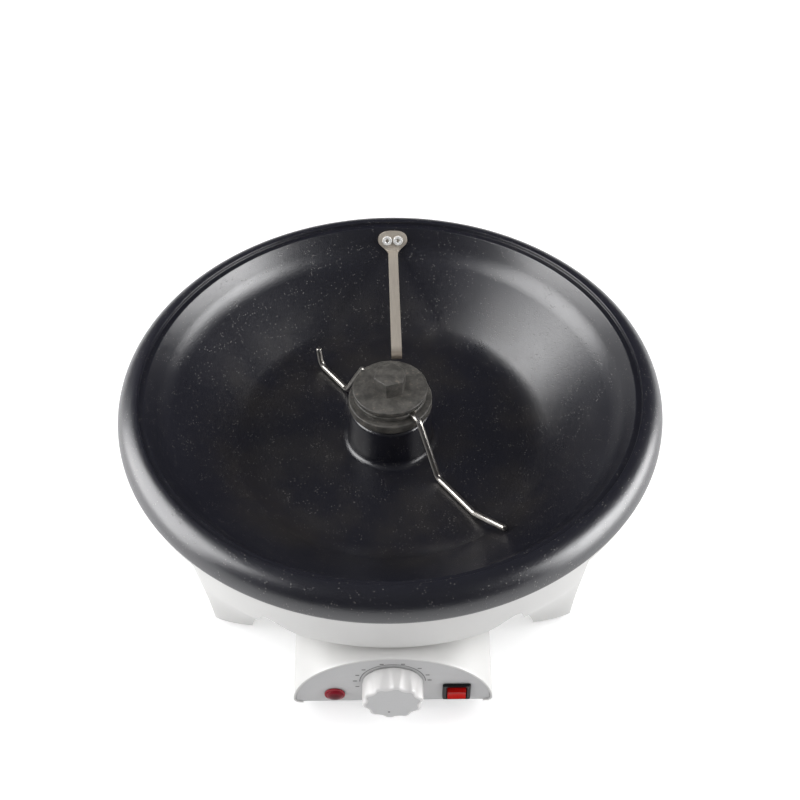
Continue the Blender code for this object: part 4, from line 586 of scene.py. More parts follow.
bowl_flange_r, bowl_flange_z = 0.166, 0.0889
bowl_top_r, bowl_floor_r, bowl_floor_z, bowl_t = 0.155, 0.103, 0.033, 0.001
bowl_hole_r, bowl_round, bowl_flange_round = 0.0065, 0.012, 0.003


def beside(points, distance):
    """Open outline moved to its right by a distance, with mitred corners."""
    ways = [(Vector(b) - Vector(a)).normalized() for a, b in zip(points, points[1:])]
    moved = []
    for i, point in enumerate(points):
        before, after = ways[max(i - 1, 0)], ways[min(i, len(ways) - 1)]
        normal = (Vector((before.y, -before.x)) + Vector((after.y, -after.x))).normalized()
        stretch = distance / normal.dot(Vector((after.y, -after.x)))
        moved.append(tuple(Vector(point) + normal * stretch))
    return moved


bowl_line = rounded([
    (bowl_flange_r, bowl_flange_z, 0), (bowl_top_r, bowl_flange_z, bowl_flange_round),
    (bowl_floor_r, bowl_floor_z, bowl_round), (bowl_hole_r, bowl_floor_z, 0)], 10)
enamel = Finish("white_enamel", ior=1.55, coat_weight=0.25, coat_roughness=0.08)
enamel_wave = enamel.grain(60, 2)
enamel.wear(colour=enamel.blend(enamel_wave, (0.74, 0.74, 0.72), (0.80, 0.80, 0.78)),
            roughness=0.20 + 0.12 * enamel_wave, height=enamel_wave, bump=0.08, depth=0.0006)
bowl = turned_shape(bowl_line + beside(bowl_line, bowl_t)[::-1], 192, (0, axis_y, 0))
bowl_piece = settled(new_object("sheet_bowl", bowl.mesh("sheet_bowl")))
fitted(bowl_piece, enamel.material, "stand", "white_enamel", "base_bowl")


# Heater and what hangs with it: a sheathed element bent to a ring, a bright tray under it, two
# ceramic bushes at its cold ends, the thermostat's bulb and tube and the thermal fuse. All sit
# between the pan and the sheet bowl, out of sight, so the solids stay and only get a finish.

def brushed(name, dark, light, roughness, way=(0, 0, 0), stretch=(1, 1, 30), per_metre=60,
            metal=1.0, bump=0.08):
    """Metal with fine lines along one way."""
    steel = Finish(name, metallic=metal)
    lines = steel.grain(per_metre, 4, steel.place(way, stretch), 0.6)
    cloud = steel.grain(35, 2)
    steel.wear(colour=steel.blend(0.6 * lines + 0.4 * cloud, dark, light),
               roughness=roughness - 0.08 + 0.16 * lines, height=lines, bump=bump, depth=0.0002)
    return steel.material


def cast(name, dark, light, roughness, per_metre=250, bump=0.15, metal=0.0):
    """Even material with a soft fine grain, such as a moulding, a casting or a fired body."""
    body = Finish(name, metallic=metal, ior=1.5)
    coarse, fine = body.grain(per_metre * 0.2, 3), body.grain(per_metre, 3)
    body.wear(colour=body.blend(0.7 * coarse + 0.3 * fine, dark, light),
              roughness=roughness - 0.05 + 0.1 * fine, height=fine, bump=bump, depth=0.0003)
    return body.material


def painted(material, *names):
    """Gives solids that stay as they are a finish."""
    for name in names:
        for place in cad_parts[name].material_slots:
            place.material = material


painted(cast("heated_sheath", (0.050, 0.043, 0.040), (0.12, 0.10, 0.09), 0.5, 400, 0.2, 0.9),
        "heater_ring")
painted(brushed("aluminised_tray", (0.55, 0.55, 0.55), (0.74, 0.74, 0.73), 0.34),
        "heat_reflector")
painted(cast("fired_ceramic", (0.72, 0.70, 0.64), (0.84, 0.82, 0.77), 0.55, 900),
        "heater_bush_left", "heater_bush_right")
painted(brushed("drawn_copper", (0.42, 0.17, 0.08), (0.66, 0.31, 0.16), 0.38),
        "sensor_bulb", "thermostat_capillary", "stator_coil")
zinc = brushed("zinc_plate", (0.46, 0.46, 0.47), (0.68, 0.68, 0.68), 0.32)
painted(zinc, "thermal_fuse", "pan_standoff_1", "pan_standoff_2", "pan_standoff_3",
        "pan_standoff_4", "motor_can", "thermostat_body", "thermostat_nut", "thermostat_spindle")


# Screws: pan-headed steel screws with a cross recess, zinc plated. Four join the pan, tray and
# bowl, four hold the bowl's flange to the stand's web and four close the tunnel's bottom plate.

screw_head_r, screw_head_h, screw_r = 0.0028, 0.0018, 0.0014
recess_w, recess_l, recess_deep = 0.0007, 0.0030, 0.0009
boss_ring_r, pan_screw_z, pan_screw_l = 0.055, 0.0327, 0.016
flange_ring_r, bowl_screw_z, bowl_screw_l = 0.1603, 0.0886, 0.006
plate_screw_z, plate_screw_l = 0.0052, 0.008
front_screw_x, front_screw_y, rear_screw_x, rear_screw_y = 0.0512, -0.148, 0.0565, 0.045


def screw_shape(length):
    """Screw that points up from its head's seat at zero, with a cross cut into its crown."""
    body = turned_shape(rounded([
        (0, -screw_head_h, 0), (screw_head_r * 0.7, -screw_head_h, 0.0007),
        (screw_head_r, -screw_head_h * 0.35, 0.0003), (screw_head_r, 0, 0), (screw_r, 0, 0),
        (screw_r, length - screw_r, 0), (0, length, 0), (0, 0, 0)], 4), 32)
    screw = new_object("screw", body.mesh("screw"))
    bars = bmesh.new()
    for wide, deep in ((recess_l, recess_w), (recess_w, recess_l)):
        bmesh.ops.create_cube(bars, size=1, matrix=Matrix.Translation((0, 0, -screw_head_h))
                              @ Matrix.Diagonal((wide, deep, 2 * recess_deep, 1)))
    bar_mesh = bpy.data.meshes.new("cross")
    bars.to_mesh(bar_mesh)
    bars.free()
    cross = new_object("cross", bar_mesh)
    cut = screw.modifiers.new("Cross", "BOOLEAN")
    cut.operation, cut.solver, cut.object, cut.use_self = "DIFFERENCE", "EXACT", cross, True
    made = settled(screw).data
    for used in (screw, cross):
        bpy.data.objects.remove(used, do_unlink=True)
    return made


def ring_of_screws(name, ring_r, first, seat, length, *stands_for):
    ring = Pattern(name, Count=4, Ring_Radius=ring_r, First=(0.0, 0.0, first),
                   Middle=(0.0, axis_y, seat))
    spots = ring.node("GeometryNodeMeshCircle", {}, {"Vertices": ring.size("Count"),
                                                     "Radius": ring.size("Ring_Radius")})
    spots = ring.node("GeometryNodeTransform", {}, {
        0: spots, "Translation": ring.size("Middle"), "Rotation": ring.size("First")})
    copies = ring.node("GeometryNodeInstanceOnPoints", {}, {"Points": spots,
                                                            "Instance": ring.size()})
    fitted(ring.grown(name, screw_shape(length), copies, zinc), zinc, "stand", "bright_steel",
           *stands_for)


ring_of_screws("pan_screws", boss_ring_r, pi / 4, pan_screw_z, pan_screw_l, "pan_screw_1",
               "pan_screw_2", "pan_screw_3", "pan_screw_4")
ring_of_screws("bowl_screws", flange_ring_r, 0.0, bowl_screw_z, bowl_screw_l, "bowl_screw_1",
               "bowl_screw_2", "bowl_screw_3", "bowl_screw_4")

plate_screws = Pattern("plate_screws", Front_Span=2 * front_screw_x, Rear_Span=2 * rear_screw_x,
                       Front_Left=(-front_screw_x, axis_y + front_screw_y, plate_screw_z),
                       Rear_Left=(-rear_screw_x, axis_y + rear_screw_y, plate_screw_z))
lines = []
for label in ("Front", "Rear"):
    step = plate_screws.node("ShaderNodeCombineXYZ", {}, {
        "X": plate_screws.size(label + "_Span")})
    lines.append(plate_screws.node("GeometryNodeMeshLine", {}, {
        "Count": 2, "Start Location": plate_screws.size(label + "_Left"), "Offset": step}))
both = plate_screws.tree.nodes.new("GeometryNodeJoinGeometry")
for line in lines:
    plate_screws.tree.links.new(line.socket, both.inputs[0])
copies = plate_screws.node("GeometryNodeInstanceOnPoints", {}, {
    "Points": Shade(plate_screws, both.outputs[0]), "Instance": plate_screws.size()})
fitted(plate_screws.grown("plate_screws", screw_shape(plate_screw_l), copies, zinc), zinc, "stand",
       "bright_steel", "plate_screw_1", "plate_screw_2", "plate_screw_3", "plate_screw_4")


# Drive: a small synchronous motor lies under the bowl and turns the stirrer's shaft through one
# pair of gears in a black case. The shaft runs up through the pan's turret in two bronze bushes.

painted(cast("case_plastic", (0.016, 0.016, 0.017), (0.030, 0.030, 0.031), 0.42, 500),
        "gear_case", "gear_case_lid", "terminal_block")
painted(cast("nylon", (0.66, 0.64, 0.56), (0.76, 0.74, 0.67), 0.48, 300), "output_gear",
        "lamp_nut")
painted(brushed("turned_brass", (0.52, 0.36, 0.13), (0.76, 0.58, 0.28), 0.3), "motor_pinion")
painted(cast("magnet_body", (0.07, 0.07, 0.075), (0.13, 0.13, 0.135), 0.6, 900), "motor_rotor")
painted(cast("oiled_bronze", (0.34, 0.22, 0.10), (0.54, 0.38, 0.20), 0.42, 1500, 0.3, 0.85),
        "upper_bush", "lower_bush")
painted(brushed("ground_shaft", (0.50, 0.50, 0.51), (0.72, 0.72, 0.72), 0.26), "drive_shaft")


# Control tunnel: the white arched moulding that carries the panel in front and runs back under
# the sheet bowl to the cord's exit. 2.4 mm ABS, open below, with its top cut to the bowl's form
# and a thin rim that stands just proud of the panel.

tunnel_front_y, tunnel_rear_y = -0.1708, 0.064
tunnel_bottom, tunnel_h = 0.005, 0.0494
tunnel_half, tunnel_rear_half = 0.0595, 0.066
tunnel_corner, tunnel_toe, tunnel_round = 0.004, radians(8), 0.005
tunnel_wall, tunnel_rim, tunnel_ease, rim_step = 0.0024, 0.0012, 0.0004, 0.0002
panel_back_y, tunnel_foot_w = -0.168, 0.006
bowl_clear = 0.0006
behind_rim_y, cut_guess_y = -0.166, -0.11
cut_z = bowl_floor_z - bowl_clear
low_steps, high_steps = 10, 22


def arch_half(half, high, cut=cut_z):
    """Right half of the tunnel's outline from its foot to its crown, one point at the cut."""
    rise = cut - tunnel_bottom
    cut_angle = atan2(rise / high, sqrt(1 - (rise / high) ** 2))
    angles = between(tunnel_toe, cut_angle, low_steps) + between(cut_angle, pi / 2, high_steps)
    curve = [(half * cos(a), tunnel_bottom + high * sin(a), 0) for a in angles + [pi / 2]]
    return rounded([(half - tunnel_foot_w, tunnel_bottom, 0), (half, tunnel_bottom, tunnel_corner)]
                   + curve, 6)


def half_width(y):
    share = (y - tunnel_front_y) / (tunnel_rear_y - tunnel_front_y)
    return tunnel_half + (tunnel_rear_half - tunnel_half) * share


bowl_outside = [(z, r) for r, z in beside(bowl_line, -bowl_clear)[::-1]]
bowl_outside = [p for i, p in enumerate(bowl_outside) if p[0] > max(
    [q[0] for q in bowl_outside[:i]], default=0)]
corner_points = 8
cut_at = corner_points + low_steps


def depth_of_cut(j):
    """How far in front of the axis the tunnel's top ends against the bowl, along one line."""
    y = cut_guess_y
    for _ in range(4):
        x, z = arch_half(half_width(y), tunnel_h)[j]
        y = -sqrt(max(height_at(bowl_outside, z) ** 2 - x ** 2, 0))
    return y


front_levels = [tunnel_front_y, panel_back_y - 2 * rim_step, panel_back_y - rim_step]
line_count = len(arch_half(tunnel_half, tunnel_h))
cuts = [depth_of_cut(max(j, cut_at)) for j in range(line_count)]
tunnel = Sheet()
for side in (-1, 1):
    lines = []
    for j in range(line_count):
        line = []
        for y in front_levels + between(behind_rim_y, cuts[j], 16) + [cuts[j]]:
            x, z = arch_half(half_width(y), tunnel_h)[j]
            line.append((side * x, axis_y + y, z))
        lines.append(line)
    tunnel.lay(lines)
    lines = []
    for j in range(cut_at + 1):
        line = []
        for y in between(cuts[cut_at], tunnel_rear_y - tunnel_round, 24):
            x, z = arch_half(half_width(y), tunnel_h)[j]
            line.append((side * x, axis_y + y, z))
        for k in range(7):
            turn = pi / 2 * k / 6
            drawn = tunnel_round * (1 - cos(turn))
            y = tunnel_rear_y - tunnel_round * (1 - sin(turn))
            x, z = arch_half(half_width(y) - drawn, tunnel_h - drawn)[j]
            line.append((side * x, axis_y + y, z))
        lines.append(line)
    tunnel.lay(lines)
rear = arch_half(half_width(tunnel_rear_y) - tunnel_round, tunnel_h - tunnel_round)[:cut_at + 1]
tunnel.lay([[(x * share, axis_y + tunnel_rear_y, z) for share in between(-1, 1, 12) + [1]]
            for x, z in rear])
tunnel.weld()
tunnel_mesh = tunnel.mesh("control_tunnel")
tunnel_piece = new_object("control_tunnel", tunnel_mesh)
thin = tunnel_piece.vertex_groups.new(name="wall")
for vert in tunnel_mesh.vertices:
    at_rim = vert.co.y < axis_y + panel_back_y - 1.5 * rim_step
    thin.add([vert.index], tunnel_rim / tunnel_wall if at_rim else 1, "REPLACE")
eased(thickened(tunnel_piece, tunnel_wall, "wall"), tunnel_ease, 2)
settled(tunnel_piece)
fitted(tunnel_piece, moulded_white("tunnel_white", white_tone), "stand", "white_plastic",
       "control_housing")


# Cord gland: the soft black ring in the tunnel's rear wall that the mains lead would pass
# through. Moulded rubber, with a flange outside and a stepped nose around its bore.

gland_x, gland_z, gland_bore_r, gland_r, gland_flange_r = 0.038, 0.019, 0.0035, 0.006, 0.0085
barb_r, barb_z, neck_end_z, gland_seat_z = 0.0072, -0.0047, -0.0027, 0.0003
gland_flange_z, nose_z, nose_r = 0.0011, 0.0023, 0.0058


def laid_back(mesh, at, lean=-90):
    """Turns a mesh made upright about X and moves it to its place."""
    mesh.transform(Matrix.Translation(at) @ Matrix.Rotation(radians(lean), 4, "X"))
    return mesh


gland = turned_shape(rounded([
    (gland_bore_r, barb_z, 0), (barb_r, barb_z, 0.0005), (barb_r, neck_end_z, 0.0002),
    (gland_r, neck_end_z, 0), (gland_r, gland_seat_z, 0), (gland_flange_r, gland_seat_z, 0.0003),
    (gland_flange_r, gland_flange_z, 0.0005), (nose_r + 0.0004, gland_flange_z + 0.0003, 0.0003),
    (nose_r, nose_z, 0.0005), (gland_bore_r, nose_z, 0.0004), (gland_bore_r, barb_z + 0.0001, 0)],
    4), 64)
gland_piece = new_object("cord_gland_ring", laid_back(
    gland.mesh("cord_gland_ring"), (gland_x, axis_y + tunnel_rear_y, gland_z)))
fitted(settled(gland_piece), rubber.material, "stand", "rubber", "cord_gland")


# Bottom plate: zinc-plated steel that closes the tunnel below, with eight slots for the motor's
# air in front. Punched from 1.2 mm sheet and held by four screws into the tunnel's columns.

plate_z, plate_t = 0.0055, 0.0012
plate_rows = ((-0.1674, 0.0573), (0.0563, 0.0631), (0.0613, 0.0586))
vent_w, vent_l, vent_pitch, vent_count, vent_y = 0.0045, 0.042, 0.0095, 8, -0.100


def slab(name, outlines, low, high, ease=0.0, resolution=3):
    """Plate from flat outlines, the first the edge and the rest holes, with eased edges."""
    curve = bpy.data.curves.new(name, "CURVE")
    curve.dimensions = "2D"
    curve.fill_mode = "BOTH"
    curve.extrude = (high - low) / 2 - ease
    curve.bevel_depth = ease
    curve.offset = -ease
    curve.bevel_resolution = resolution
    for outline in outlines:
        spline = curve.splines.new("POLY")
        spline.points.add(len(outline) - 1)
        for point, (x, y) in zip(spline.points, outline):
            point.co = (x, y, 0, 1)
        spline.use_cyclic_u = True
    flat = new_object(name, curve)
    bpy.context.view_layer.update()
    made = bpy.data.meshes.new_from_object(
        flat.evaluated_get(bpy.context.evaluated_depsgraph_get()))
    bpy.data.objects.remove(flat, do_unlink=True)
    shape = bmesh.new()
    shape.from_mesh(made)
    bmesh.ops.remove_doubles(shape, verts=shape.verts, dist=0.000005)
    bmesh.ops.recalc_face_normals(shape, faces=shape.faces)
    bmesh.ops.translate(shape, verts=shape.verts, vec=(0, 0, (high + low) / 2))
    shape.to_mesh(made)
    shape.free()
    made.materials.clear()
    return made


def looped(corners, steps=8):
    """Closed outline through corners (x, y, radius)."""
    return rounded([corners[-1], *corners, corners[0]], steps)[1:-1]


plate_half = [(x, axis_y + y, 0.002) for y, x in plate_rows]
plate_outline = looped(plate_half + [(-x, y, r) for x, y, r in plate_half[::-1]], 4)
sheet_steel = brushed("plated_sheet", (0.48, 0.49, 0.50), (0.70, 0.70, 0.69), 0.36,
                      stretch=(30, 1, 1))
slot = slab("slot", [looped([(sx * vent_w / 2, sy * vent_l / 2, vent_w / 2 - 0.00005)
                             for sx, sy in ((1, 1), (-1, 1), (-1, -1), (1, -1))], 6)],
            plate_z - 0.003, plate_z + 0.003)
vents = Pattern("vent_slots", Count=vent_count, Pitch=vent_pitch,
                First=(-vent_pitch * (vent_count - 1) / 2, axis_y + vent_y, 0.0))
spots = vents.node("GeometryNodeMeshLine", {}, {
    "Count": vents.size("Count"), "Start Location": vents.size("First"),
    "Offset": vents.node("ShaderNodeCombineXYZ", {}, {"X": vents.size("Pitch")})})
cutters = vents.node("GeometryNodeInstanceOnPoints", {}, {"Points": spots,
                                                          "Instance": vents.size()})
cutter_piece = vents.grown("vent_slots", slot, cutters, sheet_steel)
plate_piece = new_object("vented_plate", slab("vented_plate", [plate_outline], plate_z,
                                              plate_z + plate_t, 0.0003))
punch = plate_piece.modifiers.new("Vents", "BOOLEAN")
punch.operation, punch.solver, punch.object = "DIFFERENCE", "EXACT", cutter_piece
settled(plate_piece)
bpy.data.objects.remove(cutter_piece, do_unlink=True)
fitted(plate_piece, sheet_steel, "stand", "bright_steel", "bottom_plate")


# Panel: the flat grey half-ellipse in the tunnel's mouth, moulded in one piece with a fine matt
# texture. A thin line is printed round the knob and nine short level marks stand around it.

panel_y, panel_t, panel_gap = -0.170, 0.002, 0.0003
knob_z = 0.027
lamp_x, lamp_z, lamp_hole_r = -0.0344, 0.0144, 0.0052
switch_x, switch_z, switch_hole_w, switch_hole_h = 0.0376, 0.0165, 0.0146, 0.0140
spindle_hole_r, panel_ease = 0.005, 0.0003
line_r, line_w, line_from, line_to = 0.0192, 0.0006, radians(2), radians(178)
mark_l, mark_w, mark_h = 0.0024, 0.0009, 0.00008
mark_spots = ((193.6, 0.0214), (176.5, 0.0220), (159, 0.0218), (140, 0.0216), (107, 0.0206),
              (72.5, 0.0206), (43.3, 0.0216), (19.8, 0.0216), (4, 0.0216))


def facing(mesh, y):
    """Stands a flat mesh up to face the front, its top surface at a depth."""
    mesh.transform(Matrix.Translation((0, axis_y + y, 0)) @ Matrix.Rotation(pi / 2, 4, "X"))
    return mesh


def circle(radius, x=0.0, y=0.0, steps=48):
    return [(x + radius * cos(2 * pi * k / steps), y + radius * sin(2 * pi * k / steps))
            for k in range(steps)]


inset = tunnel_rim + panel_gap
right = arch_half(tunnel_half - inset, tunnel_h - inset)
right = rounded([(right[0][0], tunnel_bottom + 0.0001, 0), (tunnel_half - inset, tunnel_bottom
                 + 0.0001, tunnel_corner - tunnel_rim)] + [(x, z, 0) for x, z in right[8:]], 6)
panel_edge = right + [(-x, z) for x, z in right[-2::-1]]
hole = looped([(switch_x + sx * switch_hole_w / 2, switch_z + sz * switch_hole_h / 2, 0.0005)
               for sx, sz in ((1, 1), (-1, 1), (-1, -1), (1, -1))], 3)
panel = Finish("panel_grey", ior=1.5)
panel_grain = panel.grain(1400, 2)
panel_cloud = panel.grain(14, 2)
at_panel = panel.place()
out = panel.node("ShaderNodeCombineXYZ", {}, {
    "X": panel.axis("X", at_panel), "Y": panel.axis("Z", at_panel) - knob_z})
dial = panel.node("ShaderNodeVectorMath", {"operation": "LENGTH"}, {0: out}, "Value")
angle = panel.node("ShaderNodeMath", {"operation": "ARCTAN2"}, {
    0: panel.axis("Z", at_panel) - knob_z, 1: panel.axis("X", at_panel)})
printed = (1 - abs(dial - line_r).above(line_w * 0.35, line_w * 0.65)) * angle.above(
    line_from - 0.02, line_from + 0.02) * (1 - angle.above(line_to - 0.02, line_to + 0.02))
panel_tone = panel.blend(panel_cloud, (0.595, 0.595, 0.595), (0.625, 0.625, 0.625))
panel.wear(colour=panel.blend(0.85 * printed, panel_tone, (0.10, 0.10, 0.10)),
           roughness=0.50 + 0.08 * panel_grain, height=panel_grain, bump=0.12, depth=0.0002)
panel_mesh = slab("panel", [panel_edge, circle(spindle_hole_r, 0, knob_z),
                            circle(lamp_hole_r, lamp_x, lamp_z), hole], -panel_t, 0, panel_ease)
panel_piece = settled(new_object("panel", facing(panel_mesh, panel_y)))
fitted(panel_piece, panel.material, "stand", "grey_plastic", "control_panel")

mark_ink = cast("dial_ink", (0.12, 0.12, 0.12), (0.20, 0.20, 0.20), 0.55, 800)
mark = slab("mark", [looped([(sx * mark_l / 2, sy * mark_w / 2, mark_w * 0.4)
                             for sx, sy in ((1, 1), (-1, 1), (-1, -1), (1, -1))], 3)],
            -mark_h, mark_h)
spots_mesh = bpy.data.meshes.new("mark_spots")
spots_mesh.from_pydata([(far * cos(radians(a)), far * sin(radians(a)), 0)
                        for a, far in mark_spots], [], [])
mark_object = new_object("mark", mark)
marks = Pattern("dial_marks", Knob_Height=(0.0, knob_z, 0.0))
marks.tree.interface.new_socket("Mark", in_out="INPUT", socket_type="NodeSocketObject")
marks.values[marks.tree.interface.items_tree["Mark"].identifier] = mark_object
copies = marks.node("GeometryNodeInstanceOnPoints", {}, {
    "Points": marks.node("GeometryNodeMeshToPoints", {}, {0: marks.size()}),
    "Instance": marks.node("GeometryNodeObjectInfo", {}, {
        "Object": marks.size("Mark")}, "Geometry")})
moved = marks.node("GeometryNodeTransform", {}, {0: copies,
                                                 "Translation": marks.size("Knob_Height")})
marks_piece = marks.grown("dial_marks", spots_mesh, moved, mark_ink)
bpy.data.objects.remove(mark_object, do_unlink=True)
facing(marks_piece.data, panel_y)
fitted(marks_piece, mark_ink, "stand", "grey_plastic")


# Knob: a white moulded knob with ten finger scallops that fade towards its back, and a thin
# flat grey disc laid over its face, which makes the face grey. It presses onto the thermostat's
# spindle and turns with it.

knob_back_y, knob_l, knob_r = -0.1708, 0.0132, 0.0178
lobes, knob_turn, scallop_r, scallop_deep, scallop_lean = 10, radians(8), 0.0080, 0.0016, radians(6)
lobe_round, knob_ease = 0.0005, 0.0014
face_in, face_drop, face_lap = 0.0018, 0.00025, 0.0104
bore_r, bore_deep, skirt_in_r, skirt_deep = 0.0033, 0.0092, 0.0098, 0.0055
dot_x, dot_z, dot_r = -0.0023, knob_z - 0.0099, 0.0008
knob_steps = 256


def knob_edge(angle, depth, drawn=0.0):
    """Radius of the knob's side at an angle from its bottom lobe and a depth from its back."""
    pitch = 2 * pi / lobes
    off = (angle + knob_turn - pitch / 2) % pitch
    off = min(off, pitch - off)
    long = scallop_r / cos(scallop_lean)
    centre = knob_r - scallop_deep + long + (knob_l - depth) * tan(scallop_lean)
    a = (cos(off) / long) ** 2 + (sin(off) / scallop_r) ** 2
    b = -2 * centre * cos(off) / long ** 2
    c = (centre / long) ** 2 - 1
    inside = b * b - 4 * a * c
    bite = (-b - sqrt(inside)) / (2 * a) if inside > 0 else knob_r * 2
    gap = max(lobe_round - abs(bite - knob_r), 0) / lobe_round
    return min(bite, knob_r) - gap * gap * lobe_round / 4 - drawn


def knob_ring(depth, drawn=0.0, scale=1.0, at=None):
    ring = []
    for k in range(knob_steps):
        angle = 2 * pi * k / knob_steps
        r = knob_edge(angle, depth, drawn) * scale
        ring.append((r * sin(angle), axis_y + knob_back_y - (depth if at is None else at),
                     knob_z - r * cos(angle)))
    return ring


def knob_disc(depth, radius):
    return [(radius * sin(2 * pi * k / knob_steps), axis_y + knob_back_y - depth,
             knob_z - radius * cos(2 * pi * k / knob_steps)) for k in range(knob_steps)]


knob = Sheet()
rows = [knob_disc(bore_deep, 0.0001), knob_disc(bore_deep, bore_r),
        knob_disc(skirt_deep, bore_r), knob_disc(skirt_deep, skirt_in_r),
        knob_disc(0, skirt_in_r)]
rows += [knob_ring(0, knob_ease * 0.3), knob_ring(knob_ease * 0.3)]
rows += [knob_ring(depth) for depth in between(0.001, knob_l - knob_ease, 14)]
for k in range(7):
    turn = pi / 2 * k / 6
    rows.append(knob_ring(knob_l - knob_ease * (1 - sin(turn)), knob_ease * (1 - cos(turn))))
rows.append(knob_ring(knob_l, face_in))
rows.append(knob_ring(knob_l, face_in + 0.0002, at=knob_l - face_drop))
rows.append(knob_disc(knob_l - face_drop, 0.002))
rings = knob.lay(rows, closed=True)
knob.cap(rings[0])
knob.cap(rings[-1])
knob.weld()
knob_piece = settled(new_object("knob", knob.mesh("knob")), 50)
fitted(knob_piece, moulded_white("knob_white", (0.80, 0.79, 0.78)), "knob", "white_plastic",
       "control_knob")

# A thin grey disc laid over the knob's face, which makes the face grey.
face_disc = Sheet()
face_disc_rows = [knob_ring(knob_l, face_in + 0.0001, at=knob_l - 0.0006),
              knob_ring(knob_l, face_in + 0.0001, at=knob_l - 0.0002),
              knob_ring(knob_l, face_in + 0.0003, at=knob_l - 0.00002),
              knob_ring(knob_l, face_in + 0.0010, at=knob_l), knob_disc(knob_l, face_lap)]
rings = face_disc.lay(face_disc_rows, closed=True)
face_disc.cap(rings[0])
face_disc.cap(rings[-1])
face_disc.weld()
face_disc_piece = settled(new_object("knob_face", face_disc.mesh("knob_face")))
face_grey = Finish("knob_face_grey", ior=1.5)
at_face = face_grey.place()
from_dot = face_grey.node("ShaderNodeVectorMath", {"operation": "LENGTH"}, {
    0: face_grey.node("ShaderNodeCombineXYZ", {}, {
        "X": face_grey.axis("X", at_face) - dot_x,
        "Y": face_grey.axis("Z", at_face) - dot_z})}, "Value")
fine = face_grey.grain(1200, 2)
face_tone = face_grey.blend(fine, (0.58, 0.58, 0.58), (0.62, 0.62, 0.62))
face_grey.wear(colour=face_grey.blend(1 - from_dot.above(dot_r * 0.8, dot_r), face_tone,
                                      (0.07, 0.07, 0.07)),
               roughness=0.44 + 0.06 * fine, height=fine, bump=0.10, depth=0.0002)
fitted(face_disc_piece, face_grey.material, "knob", "grey_plastic")


# Indicator lamp: a dark red transparent cap with a low dome, pushed through the panel and held
# from behind by a nylon nut. Unlit. Its colour is painted nearly black in the middle as painted
# shade and a brighter red at the rim as a painted glow.

lamp_r, lamp_flange_r, lamp_out, lamp_dome, lamp_l = 0.0049, 0.0061, 0.0013, 0.0022, 0.012
lamp_seat, lamp_rim_w, lamp_step, lamp_ease = 0.0003, 0.0008, 0.0001, 0.0002
lens = Finish("lamp_red", ior=1.22, coat_weight=0.06, coat_roughness=0.05)
at_lens = lens.place()
off_axis = lens.node("ShaderNodeCombineXYZ", {}, {
    "X": lens.axis("X", at_lens) - lamp_x, "Y": lens.axis("Z", at_lens) - lamp_z})
from_middle = lens.node("ShaderNodeVectorMath", {"operation": "LENGTH"}, {0: off_axis}, "Value")
facets = lens.grain(500, 2)
# Painted shade and glow: the colour runs from nearly black in the middle to a brighter red at the
# rim.
lens.wear(colour=lens.ramp(from_middle / lamp_flange_r, (0.0, (0.075, 0.004, 0.009)),
                           (0.45, (0.145, 0.008, 0.016)), (0.78, (0.28, 0.014, 0.028)),
                           (1.0, (0.38, 0.035, 0.050))),
          roughness=0.13 + 0.08 * facets, height=facets, bump=0.05, depth=0.0002)
lamp_profile = [(0, -lamp_l), (lamp_r, -lamp_l), (lamp_r, lamp_seat)] + rounded([
    (lamp_flange_r - lamp_seat, lamp_seat, 0), (lamp_flange_r, lamp_seat, lamp_ease),
    (lamp_flange_r, lamp_out, 2 * lamp_ease),
    (lamp_flange_r - lamp_rim_w, lamp_out + lamp_step, lamp_ease),
    (lamp_flange_r - lamp_rim_w - lamp_ease, lamp_out - lamp_step, 0)], 4)
dome_r, dome_z = lamp_flange_r - lamp_rim_w - 2 * lamp_ease, lamp_out - lamp_step
lamp_profile += [(dome_r * cos(a), dome_z + lamp_dome * sin(a))
                 for a in between(0, pi / 2, 10)] + [(0, dome_z + lamp_dome)]
lamp = turned_shape(lamp_profile, 72)
lamp_piece = new_object("lamp", laid_back(lamp.mesh("lamp"), (lamp_x, axis_y + panel_y, lamp_z),
                                          90))
fitted(settled(lamp_piece, 50), lens.material, "stand", "red_lens", "lamp_lens")


# Switch: a snap-in rocker switch. A glossy black frame with a stepped edge stands on the panel
# and its box goes through it. The red rocker is dished and tips in the frame's pocket.

switch_w, switch_h = 0.0166, 0.0156
box_w, box_h, box_deep = 0.0140, 0.0134, 0.016
box_corner, frame_seat, switch_out = 0.0005, 0.0003, 0.0021
frame_steps = ((0.0004, 0.0010, frame_seat), (0, 0.0012, 0.0005), (0, 0.0012, 0.0012),
               (0.0003, 0.0011, 0.0017), (0.0008, 0.0009, switch_out))
pocket_w, pocket_h, pocket_deep = 0.0116, 0.0118, 0.0072
pocket_steps = ((0.0010, 0.0007, switch_out), (0.0004, 0.0006, 0.0019), (0, box_corner, 0.0014))


def block_ring(width, height, corner, depth, steps=6):
    """Rounded rectangle around the switch's middle at a depth in front of the panel."""
    return [(x, axis_y + panel_y - depth, z) for x, z in looped(
        [(switch_x + sx * width / 2, switch_z + sz * height / 2, corner)
         for sx, sz in ((1, 1), (-1, 1), (-1, -1), (1, -1))], steps)]


